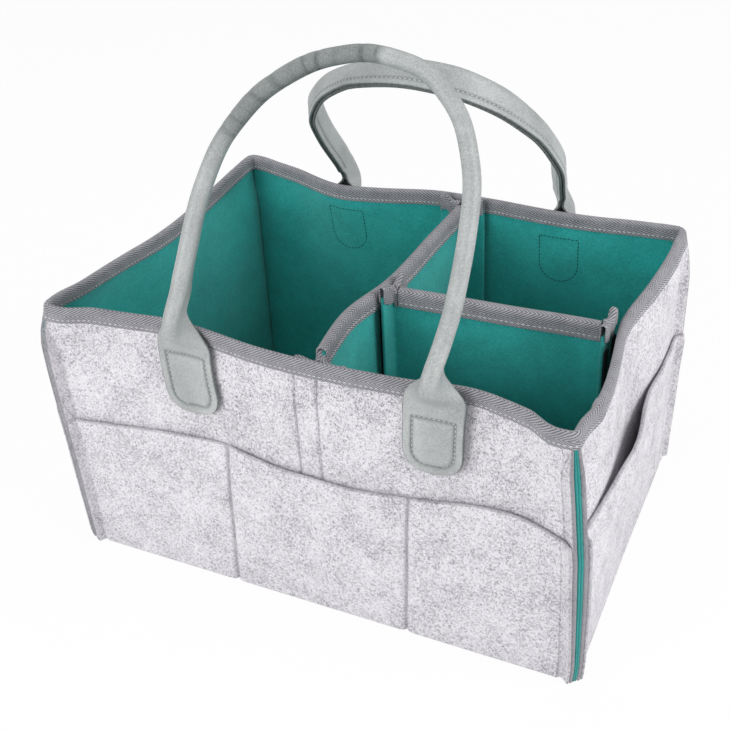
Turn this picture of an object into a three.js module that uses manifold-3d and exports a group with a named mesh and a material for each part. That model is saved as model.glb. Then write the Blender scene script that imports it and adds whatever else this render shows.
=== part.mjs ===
// Felt diaper bag: an open box of grey felt lined with teal felt, pockets round the outside, a bound
// rim, two dividers held by hook tape and two leather handles folded over cords.
// Millimetres, +Z up, front at -Y, origin on the floor under the middle of the bag.

import * as THREE from 'three';
import { mergeVertices } from 'three/addons/utils/BufferGeometryUtils.js';
import Module from 'manifold-3d';

const wasm = await Module();
wasm.setup();

// Bag, measured over the grey felt of the walls
const bagLength = 318;
const bagDepth = 230;
const bagHeight = 183;

// Sheets, and the gap left between two that touch
const outerFelt = 3;
const linerFelt = 1.8;
const pocketFelt = 2.6;
const dividerFelt = 2;
const tapeThickness = 1.2;
const leather = 2;
const layerGap = 0.3;

// Corner seams: the sheets of two walls turn out together and show their raw edges
const seamReach = 10;
const seamStub = 2;
const seamTaper = 22;
const flareWidth = 50;

// Rim tape, folded over the top of the walls, which run straight for a little way at each corner
const rimDrop = 14;
const cornerRun = 6;

// Base, sewn in with its edges turned down
const baseDrop = 7;
const baseNotch = 7;
const linerTrim = 1;

// Pockets on the long walls, three beside each other, and the single gaping one on each short wall
const pocketHeight = 111;
const pocketDip = 3;
const pocketEndDrop = 9;
const pocketSeam = 57;
const pocketGape = 2;
const pocketRowDrop = 5;
const pocketRowClear = 2;
const sidePocketHeight = 101;
const sidePocketEndDrop = 3;
const sidePocketReach = 11;
const sidePocketGapeWidth = 160;

// Dividers: two felt layers each, parted at both ends into flanges that carry the tape
const dividerShortfall = 1;
const dividerClear = 0.5;
const dividerTapeDrop = 12;
const flangeReach = 9;
const hookTapeWidth = 18;
const hookTapeInset = 6;
const mainDividerShift = 9;
const mainDividerSway = 3.2;
const swayLength = 110;
const crossDividerStart = -21;
const crossDividerEnd = -12;

// How far the walls are drawn in at the rim
const frontHandlePull = 15;
const backHandlePull = 11;
const mainDividerPull = 1;
const crossDividerPull = 2;
const leftWallSlack = 3;
const pullWidth = 34;
const slackWidth = 60;
const pullStart = 60;

// Handles: a leather strip sewn flat to the wall at each end and folded over a cord between them
const tabCentre = 78;
const tabWidth = 39;
const tabBottom = 127;
const tabCornerRadius = 17;
const tabFoldStart = 160;
const tabStepStart = 10;
const tabStepWidth = 8;
const handleFlex = 6;
const neckWidth = 28;
const neckFold = 0.3;
const strapRadius = 4.6;
const strapFin = 12.3;
const handleRise = 160;
const handleHalfWidth = 84;
const handleLegHeight = 50;
const handleRoundness = 2.2;
const handleCloseHeight = 28;
const frontHandleLean = 26;
const backHandleLean = 41;
const frontInwardSwing = 5;
const backInwardSwing = 3;

// Largest facets of the felt
const wallStep = 28;
const heightStep = 48;

const greyFelt = { color: 0xc9c7cb, roughness: 0.95, metalness: 0 };
const tealFelt = { color: 0x1f9c8c, roughness: 0.95, metalness: 0 };
const greyTape = { color: 0x8d8c92, roughness: 0.85, metalness: 0 };
const blackTape = { color: 0x16181a, roughness: 0.9, metalness: 0 };
const greyLeather = { color: 0xa9b2b0, roughness: 0.5, metalness: 0 };
const cordFibre = { color: 0xe6e2d8, roughness: 0.9, metalness: 0 };

// Depths of the sheets, outwards from the line where the liners of two walls meet
const linerIn = layerGap / 2;
const linerOut = linerIn + linerFelt;
const outerIn = linerOut + layerGap;
const outerOut = outerIn + outerFelt;
const pocketIn = outerOut + layerGap;
const pocketOut = pocketIn + pocketFelt;
const tapeIn = linerIn - layerGap - tapeThickness;
const halfLength = bagLength / 2 - outerOut;
const halfDepth = bagDepth / 2 - outerOut;

// Heights
const wallTop = bagHeight - tapeThickness - layerGap;
const rimTapeEdge = bagHeight - rimDrop;
const rimStart = rimTapeEdge - 0.5;
const seamFull = rimStart - seamTaper;
const baseTop = baseDrop + outerFelt;
const floorTop = baseTop + layerGap + linerFelt;
const dividerBottom = floorTop + dividerClear;
const dividerTop = bagHeight - dividerShortfall;
const dividerTapeTop = dividerTop - dividerTapeDrop - 1;
const flexHeight = bagHeight + handleFlex;

// Flanges of a divider: the middle of their felt, inwards from the seam line
const flangeSeat = -tapeIn + 2 * layerGap + tapeThickness + dividerFelt / 2;
const plateau = Math.max(flangeReach, hookTapeWidth / 2) + 2;

const smooth = (t) => THREE.MathUtils.smoothstep(t, 0, 1);

// A fall from 1 to 0 beyond a flat stretch of the given half width
function hump(distance, flat, width) {
  return Math.exp(-((Math.max(Math.abs(distance) - flat, 0) / width) ** 2));
}

// Plan line of the main divider: x for each y
function mainDividerLine(y) {
  return mainDividerShift + mainDividerSway * Math.cos((2 * Math.PI * y) / swayLength);
}

// Plan line of the cross divider: y for each x
function crossDividerLine(x) {
  return THREE.MathUtils.mapLinear(x, 0, halfLength, crossDividerStart, crossDividerEnd);
}

// How far a wall is drawn in by a divider that is shorter than the bag: its full height above the floor
function dividerBow(distance, pull, z) {
  return pull * hump(distance, plateau, pullWidth) * smooth((z - floorTop) / (pullStart - floorTop));
}

// Share of the way up to the rim tape, which holds the top of a wall upright
function underRim(z) {
  return Math.min(z / rimStart, 1);
}

// A long wall is also drawn in at the rim by the leaning handles
function longWallBow(s, z, dividerAt, handlePull) {
  const tabs = hump(s - tabCentre, tabReach, pullWidth) + hump(s + tabCentre, tabReach, pullWidth);
  return handlePull * tabs * underRim(z) ** 2.5 + dividerBow(s - dividerAt, mainDividerPull, z);
}

// The four walls, each in its own frame: s along it to the right as seen from outside, n outwards
const tabReach = tabWidth / 2 + 1.5;
const tabEdges = [-tabReach, tabReach].flatMap((edge) => [edge - tabCentre, edge + tabCentre]);
const pocketFolds = [-sidePocketGapeWidth / 2, sidePocketGapeWidth / 2];
const mainDividerEnd = mainDividerLine(halfDepth);
const besideDivider = (centre) => [centre - plateau, centre, centre + plateau];
const walls = {
  front: {
    turn: 0,
    halfSpan: halfLength,
    reach: halfDepth,
    keys: [...besideDivider(mainDividerEnd), -pocketSeam, pocketSeam, ...tabEdges],
    slack: (s, z) => longWallBow(s, z, mainDividerEnd, frontHandlePull),
  },
  right: {
    turn: 1,
    halfSpan: halfDepth,
    reach: halfLength,
    keys: [...besideDivider(crossDividerEnd), ...pocketFolds],
    slack: (s, z) => dividerBow(s - crossDividerEnd, crossDividerPull, z),
  },
  back: {
    turn: 2,
    halfSpan: halfLength,
    reach: halfDepth,
    keys: [...besideDivider(-mainDividerEnd), -pocketSeam, pocketSeam, ...tabEdges],
    slack: (s, z) => longWallBow(s, z, -mainDividerEnd, backHandlePull),
  },
  left: {
    turn: 3,
    halfSpan: halfDepth,
    reach: halfLength,
    keys: [0, ...pocketFolds],
    slack: (s, z) => leftWallSlack * hump(s, 0, slackWidth) * underRim(z) ** 1.5,
  },
};

// Key values with steps of at most maxStep between them, the last one always kept
function fill(keys, maxStep) {
  const sorted = [...keys].sort((a, b) => a - b);
  const end = sorted[sorted.length - 1];
  const values = [sorted[0]];
  for (const key of [...sorted.filter((value) => value < end - 1), end]) {
    const from = values[values.length - 1];
    if (key - from < 1) continue;
    const steps = Math.ceil((key - from) / maxStep);
    for (let i = 1; i <= steps; i++) values.push(from + ((key - from) * i) / steps);
  }
  return values;
}

// Heights at which every sheet of the walls has a row of points, none of them within the pockets' edges
const lowestPocket = Math.min(pocketHeight - pocketDip - pocketEndDrop, sidePocketHeight - sidePocketEndDrop);
const pocketRow = lowestPocket - pocketRowDrop;
const abovePockets = Math.max(pocketHeight, sidePocketHeight) + pocketRowClear;
const lowRows = [0, floorTop, pullStart, pocketRow].filter((z) => z <= pocketRow);
const highRows = [abovePockets, seamFull, (seamFull + rimStart) / 2, rimStart, wallTop];
const wallRows = fill([...lowRows, ...highRows], heightStep);

// A wall's columns of points, short of its two corners
for (const wall of Object.values(walls)) {
  const end = wall.halfSpan - cornerRun;
  wall.columns = fill([-end, ...wall.keys, end], wallStep);
}

// The place of a value among sorted stops: the index below it and the share of the way on
function locate(stops, value) {
  let i = 0;
  while (i < stops.length - 2 && value > stops[i + 1]) i++;
  return [i, (value - stops[i]) / (stops[i + 1] - stops[i])];
}

// Length of the turned-out corner seam at a height: it runs out under the rim tape
function seamLength(z) {
  return THREE.MathUtils.lerp(seamReach, seamStub, smooth((z - seamFull) / seamTaper));
}

// The seam's raw edge stands straight, so where the seam gets shorter the corner spreads out to it
function cornerFlare(z) {
  return (seamReach - seamLength(z)) * Math.SQRT1_2;
}

// How far a wall is drawn in at a point, flat between its columns and rows, so that its layers nest
function bowAt(wall, s, z) {
  const stops = wall.columns;
  const last = stops.length - 1;
  if (Math.abs(s) >= stops[last]) return -cornerFlare(z);
  const [i, u] = locate(stops, s);
  const [j, v] = locate(wallRows, Math.min(z, wallTop));
  const corner = (k, m) => {
    if (k === 0 || k === last) return -cornerFlare(wallRows[m]);
    const spread = smooth(1 - (wall.halfSpan - Math.abs(stops[k])) / flareWidth);
    return wall.slack(stops[k], wallRows[m]) - cornerFlare(wallRows[m]) * spread;
  };
  const low = THREE.MathUtils.lerp(corner(i, j), corner(i + 1, j), u);
  const high = THREE.MathUtils.lerp(corner(i, j + 1), corner(i + 1, j + 1), u);
  return THREE.MathUtils.lerp(low, high, v);
}

// A point of a wall's frame in the bag's frame
function wallPoint(wall, s, n, z) {
  const [x, y] = [[s, -n], [n, s], [-s, n], [-n, -s]][wall.turn];
  return new THREE.Vector3(x, y, z);
}

// A closed solid from triangles, turned so that its faces look outwards
function solidFrom(triangles) {
  let volume = 0;
  for (const [a, b, c] of triangles) volume += a.dot(new THREE.Vector3().crossVectors(b, c));
  const points = triangles.flatMap(([a, b, c]) => (volume > 0 ? [a, b, c] : [a, c, b]));
  const geometry = mergeVertices(new THREE.BufferGeometry().setFromPoints(points), 1e-5);
  geometry.computeVertexNormals();
  return geometry;
}

// A sheet between two grids of points, each a list of columns
function sheetSolid(inner, outer) {
  const triangles = [];
  const quad = (a, b, c, d) => triangles.push([a, b, c], [a, c, d]);
  const last = inner.length - 1;
  const top = inner[0].length - 1;
  for (let i = 0; i < last; i++) {
    for (let j = 0; j < top; j++) {
      quad(inner[i][j], inner[i + 1][j], inner[i + 1][j + 1], inner[i][j + 1]);
      quad(outer[i][j], outer[i][j + 1], outer[i + 1][j + 1], outer[i + 1][j]);
    }
    quad(inner[i][0], outer[i][0], outer[i + 1][0], inner[i + 1][0]);
    quad(inner[i][top], inner[i + 1][top], outer[i + 1][top], outer[i][top]);
  }
  for (let j = 0; j < top; j++) {
    quad(inner[0][j], inner[0][j + 1], outer[0][j + 1], outer[0][j]);
    quad(inner[last][j], outer[last][j], outer[last][j + 1], inner[last][j + 1]);
  }
  return solidFrom(triangles);
}

// A tube through rings of points, closed on itself or with flat ends
function tubeSolid(rings, closed) {
  const triangles = [];
  const count = rings[0].length;
  for (let k = 0; k < (closed ? rings.length : rings.length - 1); k++) {
    const ring = rings[k];
    const next = rings[(k + 1) % rings.length];
    for (let m = 0; m < count; m++) {
      const on = (m + 1) % count;
      triangles.push([ring[m], ring[on], next[on]], [ring[m], next[on], next[m]]);
    }
  }
  if (!closed) {
    const [first, last] = [rings[0], rings[rings.length - 1]];
    for (let m = 1; m < count - 1; m++) {
      triangles.push([first[0], first[m + 1], first[m]], [last[0], last[m], last[m + 1]]);
    }
  }
  return solidFrom(triangles);
}

// A plan shape raised between two heights
function prism(shape, bottom, top) {
  const geometry = new THREE.ExtrudeGeometry(shape, { depth: top - bottom, bevelEnabled: false });
  return geometry.translate(0, 0, bottom);
}

// A geometry as a solid for cutting, and a cut solid as a geometry
function toSolid(geometry) {
  const bare = geometry.clone().deleteAttribute('normal').deleteAttribute('uv');
  const merged = mergeVertices(bare, 1e-5);
  return new wasm.Manifold(
    new wasm.Mesh({
      numProp: 3,
      vertProperties: Float32Array.from(merged.attributes.position.array),
      triVerts: Uint32Array.from(merged.index.array),
    }),
  );
}

function toGeometry(manifold) {
  const { vertProperties, triVerts } = manifold.getMesh();
  const geometry = new THREE.BufferGeometry();
  geometry.setAttribute('position', new THREE.BufferAttribute(Float32Array.from(vertProperties), 3));
  geometry.setIndex([...triVerts]);
  geometry.computeVertexNormals();
  return geometry;
}

// A plan line moved sideways, its corners mitred
function offsetLine(line, distance) {
  const direction = (i) => line[i + 1].clone().sub(line[i]).normalize();
  return line.map((point, i) => {
    const before = direction(Math.max(i - 1, 0));
    const after = direction(Math.min(i, line.length - 2));
    const along = before.clone().add(after).normalize();
    const stretch = distance / along.dot(after);
    return new THREE.Vector2(point.x - along.y * stretch, point.y + along.x * stretch);
  });
}

// The outline of a strip of even thickness along a plan line
function stripShape(line, thickness) {
  const right = offsetLine(line, -thickness / 2);
  const left = offsetLine(line, thickness / 2).reverse();
  return new THREE.Shape([...right, ...left]);
}

function rectangle(halfX, halfY) {
  return new THREE.Shape([
    new THREE.Vector2(-halfX, -halfY),
    new THREE.Vector2(halfX, -halfY),
    new THREE.Vector2(halfX, halfY),
    new THREE.Vector2(-halfX, halfY),
  ]);
}

// Every piece is a named mesh with a material of its own
function piece(name, geometry, look) {
  const mesh = new THREE.Mesh(geometry, new THREE.MeshStandardMaterial(look));
  mesh.name = name;
  return mesh;
}

// A column of one face of a wall's sheet: within the wall, at a fold or at a seam's raw edge
function wallColumn(wall, column, depth, rows, gape = () => 0) {
  return rows.map((z) => {
    const [side, at] = column;
    if (at === 'wall') {
      return wallPoint(wall, side, wall.reach + depth - bowAt(wall, side, z) + gape(side, z), z);
    }
    const [span, reach] = [wall.halfSpan + cornerFlare(z), wall.reach + cornerFlare(z)];
    if (at === 'fold') {
      return wallPoint(wall, side * (span - depth * Math.tan(Math.PI / 8)), reach + depth, z);
    }
    const length = seamLength(z);
    const s = side * (span + (length - depth) * Math.SQRT1_2);
    return wallPoint(wall, s, reach + (length + depth) * Math.SQRT1_2, z);
  });
}

// All columns of a wall's sheet from one seam's raw edge to the other
function sheetColumns(columns) {
  return [[-1, 'edge'], [-1, 'fold'], ...columns.map((s) => [s, 'wall']), [1, 'fold'], [1, 'edge']];
}

// One felt sheet of a wall
function wallSheet(wall, depthIn, depthOut, bottom) {
  const rows = [bottom, ...wallRows.filter((z) => z > bottom && z <= wallTop)];
  const columns = sheetColumns(wall.columns);
  return sheetSolid(
    columns.map((column) => wallColumn(wall, column, depthIn, rows)),
    columns.map((column) => wallColumn(wall, column, depthOut, rows)),
  );
}

// A pocket's sheet: its top edge is wavy and stands off the wall between the seams
function pocketSheet(wall, topAt, gapeAt) {
  const face = (depth) =>
    sheetColumns(wall.columns).map((column) => {
      const [side, at] = column;
      const top = topAt(at === 'wall' ? side : side * wall.halfSpan);
      const rows = [...wallRows.filter((z) => z <= pocketRow), top];
      return wallColumn(wall, column, depth, rows, (s, z) => gapeAt(wall, s, z / top));
    });
  return sheetSolid(face(pocketIn), face(pocketOut));
}

// Long walls: three pockets, lowest in the middle and at the corners
function longPocketTop(s) {
  return pocketHeight - pocketDip * hump(s, 0, pullWidth) - pocketEndDrop * Math.abs(s / halfLength) ** 6;
}

// The pockets stand off a little between their seams, most at the mouth
function longPocketGape(wall, s, up) {
  const stops = [-halfLength, -pocketSeam, pocketSeam, halfLength];
  const [, share] = locate(stops, s);
  return pocketGape * Math.sin(Math.PI * share) ** 2 * up ** 2;
}

// Short walls: one pocket that gapes in the middle, where it reaches out past the corners
function sidePocketTop(s) {
  return sidePocketHeight - sidePocketEndDrop * Math.abs(s / halfDepth) ** 4;
}

function sidePocketGape(wall, s, up) {
  const gape = sidePocketReach + bowAt(wall, 0, sidePocketHeight);
  const share = Math.min(Math.abs(s) / (sidePocketGapeWidth / 2), 1);
  return gape * Math.cos((Math.PI / 2) * share) ** 2 * smooth(up * 1.1 - 0.1);
}

// Rim tape: one loop over the top of all four walls, its corners cut off by the seams under it
function rimTape() {
  const out = outerOut + layerGap;
  const section = [
    [out + tapeThickness, rimTapeEdge],
    [out + tapeThickness, bagHeight],
    [tapeIn, bagHeight],
    [tapeIn, rimTapeEdge],
    [tapeIn + tapeThickness, rimTapeEdge],
    [tapeIn + tapeThickness, bagHeight - tapeThickness],
    [out, bagHeight - tapeThickness],
    [out, rimTapeEdge],
  ];
  const rings = Object.values(walls).flatMap((wall) => {
    const end = wall.halfSpan + cornerFlare(bagHeight) - outerOut * Math.tan(Math.PI / 8);
    return [-end, ...wall.columns, end].map((s) =>
      section.map(([depth, z]) => wallPoint(wall, s, wall.reach + depth - bowAt(wall, s, z), z)),
    );
  });
  return tubeSolid(rings, true);
}

// Base sheet: a flat floor whose edges are turned down inside the walls, cut away where they meet
function baseTray(clear, thickness, top, bottom) {
  const [x, y] = [halfLength - clear, halfDepth - clear];
  const notched = new THREE.Shape(
    [
      [-x + baseNotch, -y],
      [x - baseNotch, -y],
      [x - baseNotch, -y + baseNotch],
      [x, -y + baseNotch],
      [x, y - baseNotch],
      [x - baseNotch, y - baseNotch],
      [x - baseNotch, y],
      [-x + baseNotch, y],
      [-x + baseNotch, y - baseNotch],
      [-x, y - baseNotch],
      [-x, -y + baseNotch],
      [-x + baseNotch, -y + baseNotch],
    ].map(([px, py]) => new THREE.Vector2(px, py)),
  );
  const edges = toSolid(prism(notched, bottom, top - thickness / 2));
  const hollow = toSolid(prism(rectangle(x - thickness, y - thickness), bottom - 1, top - thickness));
  const floor = toSolid(prism(rectangle(x, y), top - thickness, top));
  return toGeometry(edges.subtract(hollow).add(floor));
}

// The two dividers in plan: a runs along the web and c across it
const dividers = {
  main: {
    web: mainDividerLine,
    start: (c) => -(halfDepth - bowAt(walls.front, c, bagHeight) - flangeSeat),
    end: (c) => halfDepth - bowAt(walls.back, -c, bagHeight) - flangeSeat,
    toPlan: (a, c) => new THREE.Vector2(c, a),
  },
  cross: {
    web: crossDividerLine,
    start: (c) => mainDividerLine(c) + dividerFelt + flangeSeat + tapeIn + tapeThickness + 1.5 * layerGap,
    end: (c) => halfLength - bowAt(walls.right, c, bagHeight) - flangeSeat,
    toPlan: (a, c) => new THREE.Vector2(a, c),
  },
};

// Middle of a divider's layer: out along one flange, the web, and out along the other
function layerLine(divider, side, webSteps = 14) {
  const shift = (side * (layerGap + dividerFelt)) / 2;
  const startAt = divider.web(divider.start(divider.web(0))) + shift;
  const endAt = divider.web(divider.end(divider.web(0))) + shift;
  const shares = [1, 0.5, 0];
  const flange = (root, face) =>
    shares.map((share) => root + side * flangeReach * share).map((c) => [face(c), c]);
  const first = flange(startAt, divider.start);
  const last = flange(endAt, divider.end).reverse();
  const web = [];
  for (let i = 1; i < webSteps; i++) {
    const a = THREE.MathUtils.lerp(first[2][0], last[0][0], i / webSteps);
    web.push([a, divider.web(a) + shift]);
  }
  return [...first, ...web, ...last].map(([a, c]) => divider.toPlan(a, c));
}

function dividerLayer(divider, side) {
  const layerTop = dividerTop - tapeThickness - layerGap;
  return prism(stripShape(layerLine(divider, side), dividerFelt), dividerBottom, layerTop);
}

// A line made longer at both ends
function lengthened(line, by) {
  const out = (tip, next) => tip.clone().sub(next).setLength(by).add(tip);
  return [out(line[0], line[1]), ...line.slice(1, -1), out(line[line.length - 1], line[line.length - 2])];
}

// Tape folded over the top of both layers and their flanges
function dividerTape(divider) {
  const bottom = dividerTop - dividerTapeDrop;
  const lines = [-1, 1].map((side) => layerLine(divider, side));
  const around = dividerFelt + 2 * layerGap;
  const across = around + 2 * tapeThickness;
  const full = lines.map((line) => toSolid(prism(stripShape(line, across), bottom, dividerTop)));
  const space = lines.map((line) =>
    toSolid(prism(stripShape(lengthened(line, 2), around), bottom - 1, dividerTop - tapeThickness)),
  );
  return toGeometry(full[0].add(full[1]).subtract(space[0]).subtract(space[1]));
}

// Tape on the outside of one flange
function flangeTape(divider, atStart, side) {
  const shift = (side * (layerGap + dividerFelt)) / 2;
  const face = atStart ? divider.start : divider.end;
  const out = (atStart ? -1 : 1) * (dividerFelt / 2 + layerGap + tapeThickness / 2);
  const root = divider.web(face(divider.web(0))) + shift;
  const stops = [0, 0.5, 1].map((share) => root + side * flangeReach * share);
  const line = stops.map((c) => divider.toPlan(face(c) + out, c));
  return prism(stripShape(line, tapeThickness), dividerBottom + hookTapeInset, dividerTapeTop);
}

// Tape on the side of the main divider, where the cross divider's flanges hold
function sideTape() {
  const out = layerGap / 2 + dividerFelt + layerGap + tapeThickness / 2;
  const middle = crossDividerLine(mainDividerLine(crossDividerStart));
  const line = [-1, -0.5, 0, 0.5, 1]
    .map((share) => middle + (share * hookTapeWidth) / 2)
    .map((y) => new THREE.Vector2(mainDividerLine(y) + out, y));
  return prism(stripShape(line, tapeThickness), dividerBottom + hookTapeInset, dividerTapeTop);
}

// Tape sewn upright to the liner of a wall
function wallTape(wall, centre) {
  const bottom = floorTop + hookTapeInset;
  const top = rimTapeEdge - layerGap;
  const rows = [bottom, ...wallRows.filter((z) => z > bottom && z < top), top];
  const columns = [-1, 0, 1].map((share) => [centre + (share * hookTapeWidth) / 2, 'wall']);
  return sheetSolid(
    columns.map((column) => wallColumn(wall, column, tapeIn, rows)),
    columns.map((column) => wallColumn(wall, column, tapeIn + tapeThickness, rows)),
  );
}

// Fold of the leather strip that just brings its two raw edges together
const strapArc = (() => {
  const closeness = (leather + layerGap) / 2 / Math.hypot(strapRadius, strapFin);
  return Math.PI - Math.asin(closeness) - Math.atan2(strapFin, strapRadius);
})();
const strapCut = 2 * (strapRadius * strapArc + strapFin);

// A point of the strip's cross-section, at w from its middle line and out by lift from mid thickness.
// p runs across and q outwards from the raw edges. fold is 0 where the strip is flat, 1 where it is closed.
function stripPoint(w, width, fold, lift) {
  const arc = strapRadius * strapArc;
  const bend = Math.max(fold, 1e-4) * strapArc;
  const radius = arc / bend;
  const curve = (v) => {
    const inArc = THREE.MathUtils.clamp(v, -arc, arc);
    const angle = inArc / radius;
    const rest = Math.abs(v) - Math.abs(inArc);
    const p = radius * Math.sin(angle) + Math.sign(v) * rest * Math.cos(bend);
    return [p, radius * (Math.cos(angle) - 1) - rest * Math.sin(bend), angle];
  };
  const [p, q, angle] = curve(w);
  const edge = curve(width / 2)[1];
  return { p: p + lift * Math.sin(angle), q: q - edge + lift * Math.cos(angle) };
}

// Places across the strip at which it has points
function stripStations(width) {
  const arc = strapRadius * strapArc;
  return [-width / 2, -arc, -arc * 0.66, -arc * 0.33, 0, arc * 0.33, arc * 0.66, arc, width / 2];
}

// Depth of the cross-section, from the raw edges to the fold
function stripDepth(width, fold) {
  return stripPoint(0, width, fold, 0).q;
}

const neckDepth = stripDepth(neckWidth, neckFold);
const strapDepth = stripDepth(strapCut, 1);

// Half of the tab's width left by the round corners at its lower end
function tabRound(z) {
  const up = THREE.MathUtils.clamp((z - tabBottom) / tabCornerRadius, 0.02, 1);
  return tabWidth / 2 - tabCornerRadius * (1 - Math.sqrt(1 - (1 - up) ** 2));
}

// Tab: lies flat on the wall, steps over the rim tape and starts to fold towards the strap
function tab(wall, centre, lean) {
  const tilt = Math.tan(THREE.MathUtils.degToRad(lean) / 2);
  const heights = [0, 0.08, 0.3, 0.65, 1].map((share) => tabBottom + share * tabCornerRadius);
  heights.push(tabFoldStart);
  for (let i = 1; i <= 5; i++) heights.push(THREE.MathUtils.lerp(tabFoldStart, flexHeight, i / 5));
  const face = (lift) =>
    [0, 1, 2, 3, 4, 5, 6, 7, 8].map((k) =>
      heights.map((z) => {
        const up = smooth((z - tabFoldStart) / (flexHeight - tabFoldStart));
        const fold = neckFold * up;
        const width = THREE.MathUtils.lerp(tabWidth, neckWidth, up);
        const w = stripStations(width)[k] * (z < tabFoldStart ? tabRound(z) / (tabWidth / 2) : 1);
        const { p, q } = stripPoint(w, width, fold, lift);
        const over = smooth((z - rimTapeEdge + tabStepStart) / tabStepWidth) * (tapeThickness + layerGap);
        const n = wall.reach + outerOut + layerGap + over + leather / 2 + q;
        const slant = (q - neckDepth / 2) * tilt * up ** 4;
        return wallPoint(wall, centre + p, n - bowAt(wall, centre + p, z), z + slant);
      }),
    );
  return sheetSolid(face(-leather / 2), face(leather / 2));
}

// Middle of the neck where the handle leaves its tabs: outwards from the middle of the bag
function neckReach(wall) {
  const seat = outerOut + 2 * layerGap + tapeThickness + (leather + neckDepth) / 2;
  return wall.reach + seat - bowAt(wall, tabCentre, wallTop);
}

// Line of the handle in its own plane: two legs that spread a little, joined by a rounded arch
function handleLine() {
  const points = [];
  const legSpread = handleHalfWidth - tabCentre;
  for (const h of [0, 0.08, 0.22, 0.45, 0.7]) {
    const y = h * handleLegHeight;
    points.push([handleHalfWidth - legSpread * (1 - h) ** 2, y]);
  }
  const crown = handleRise - handleLegHeight;
  for (let turn = 0; turn < 90; turn += 10) {
    const angle = THREE.MathUtils.degToRad(turn);
    const power = 2 / handleRoundness;
    const across = handleHalfWidth * Math.cos(angle) ** power;
    points.push([across, handleLegHeight + crown * Math.sin(angle) ** power]);
  }
  const mirrored = points.map(([x, h]) => [-x, h]).reverse();
  return [...points, [0, handleRise], ...mirrored].map(([x, h]) => new THREE.Vector2(-x, h));
}

// Frames along the handle: p away from the middle of the arch, q outwards from its plane
function handleFrames(wall, lean) {
  const angle = THREE.MathUtils.degToRad(lean);
  const line = handleLine();
  const last = line.length - 1;
  const foot = neckReach(wall);
  const place = (x, h, q) => {
    const n = foot - h * Math.sin(angle) + q * Math.cos(angle);
    return wallPoint(wall, x, n, flexHeight + h * Math.cos(angle) + q * Math.sin(angle));
  };
  return line.map((point, i) => {
    const along = line[Math.min(i + 1, last)].clone().sub(line[Math.max(i - 1, 0)]).normalize();
    if (i === 0) along.set(0, 1);
    if (i === last) along.set(0, -1);
    const toBag = (p, q, rise) => place(point.x - along.y * p, point.y + along.x * p + rise, q);
    return { height: point.y, fromEnd: Math.min(i, last - i), toBag };
  });
}

// Rise of the handle's lower ends, which meet the tabs on a slant and leave room to swing inwards
function footRise(q, lean, inwardSwing) {
  const slant = Math.tan(THREE.MathUtils.degToRad(lean) / 2);
  const room = Math.tan(THREE.MathUtils.degToRad(inwardSwing + 1));
  return layerGap - q * slant + ((neckDepth + leather) / 2 - q) * room;
}

function strap(wall, lean, inwardSwing) {
  const sections = handleFrames(wall, lean).map(({ height, fromEnd, toBag }) => {
    const closed = smooth(height / handleCloseHeight);
    const width = THREE.MathUtils.lerp(neckWidth, strapCut, closed);
    const fold = THREE.MathUtils.lerp(neckFold, 1, closed);
    const middle = stripDepth(width, fold) / 2;
    return { width, fold, middle, fromEnd, toBag };
  });
  const face = (lift) =>
    [...stripStations(strapCut).keys()].map((k) =>
      sections.map(({ width, fold, middle, fromEnd, toBag }) => {
        const { p, q } = stripPoint(stripStations(width)[k], width, fold, lift);
        return toBag(p, q - middle, fromEnd === 0 ? footRise(q - middle, lean, inwardSwing) : 0);
      }),
    );
  return sheetSolid(face(-leather / 2), face(leather / 2));
}

function core(wall, lean) {
  const radius = strapRadius - leather / 2 - layerGap;
  const seat = strapDepth / 2 - strapRadius;
  const frames = handleFrames(wall, lean).filter(({ height }) => height >= handleCloseHeight);
  const turns = [...Array(8).keys()].map((k) => (k * Math.PI) / 4);
  return tubeSolid(
    frames.map(({ toBag }) => turns.map((a) => toBag(radius * Math.cos(a), seat + radius * Math.sin(a), 0))),
    false,
  );
}

// One handle with its two tabs
function handle(name, wall, lean, inwardSwing) {
  const [leftSide, rightSide] = wall === walls.front ? [-1, 1] : [1, -1];
  const group = new THREE.Group();
  group.add(
    piece(`${name}_handle_left_tab`, tab(wall, leftSide * tabCentre, lean), greyLeather),
    piece(`${name}_handle_right_tab`, tab(wall, rightSide * tabCentre, lean), greyLeather),
    piece(`${name}_handle_strap`, strap(wall, lean, inwardSwing), greyLeather),
    piece(`${name}_handle_core`, core(wall, lean), cordFibre),
  );
  return group;
}

const bag = new THREE.Group();

for (const [name, wall] of Object.entries(walls)) {
  bag.add(piece(`${name}_outer_panel`, wallSheet(wall, outerIn, outerOut, 0), greyFelt));
  bag.add(piece(`${name}_liner_panel`, wallSheet(wall, linerIn, linerOut, linerTrim), tealFelt));
}
for (const name of ['front', 'back']) {
  bag.add(piece(`${name}_pocket_panel`, pocketSheet(walls[name], longPocketTop, longPocketGape), greyFelt));
}
for (const name of ['left', 'right']) {
  bag.add(piece(`${name}_pocket_panel`, pocketSheet(walls[name], sidePocketTop, sidePocketGape), greyFelt));
}

const linerTurn = layerGap / 2;
const outerTurn = linerTurn + linerFelt + layerGap;
bag.add(piece('base_outer_panel', baseTray(outerTurn, outerFelt, baseTop, 0), greyFelt));
bag.add(piece('base_liner_panel', baseTray(linerTurn, linerFelt, floorTop, linerTrim), tealFelt));
bag.add(piece('rim_binding', rimTape(), greyTape));

bag.add(piece('front_wall_tape', wallTape(walls.front, mainDividerEnd), blackTape));
bag.add(piece('back_wall_tape', wallTape(walls.back, -mainDividerEnd), blackTape));
bag.add(piece('right_wall_tape', wallTape(walls.right, crossDividerEnd), blackTape));

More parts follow.
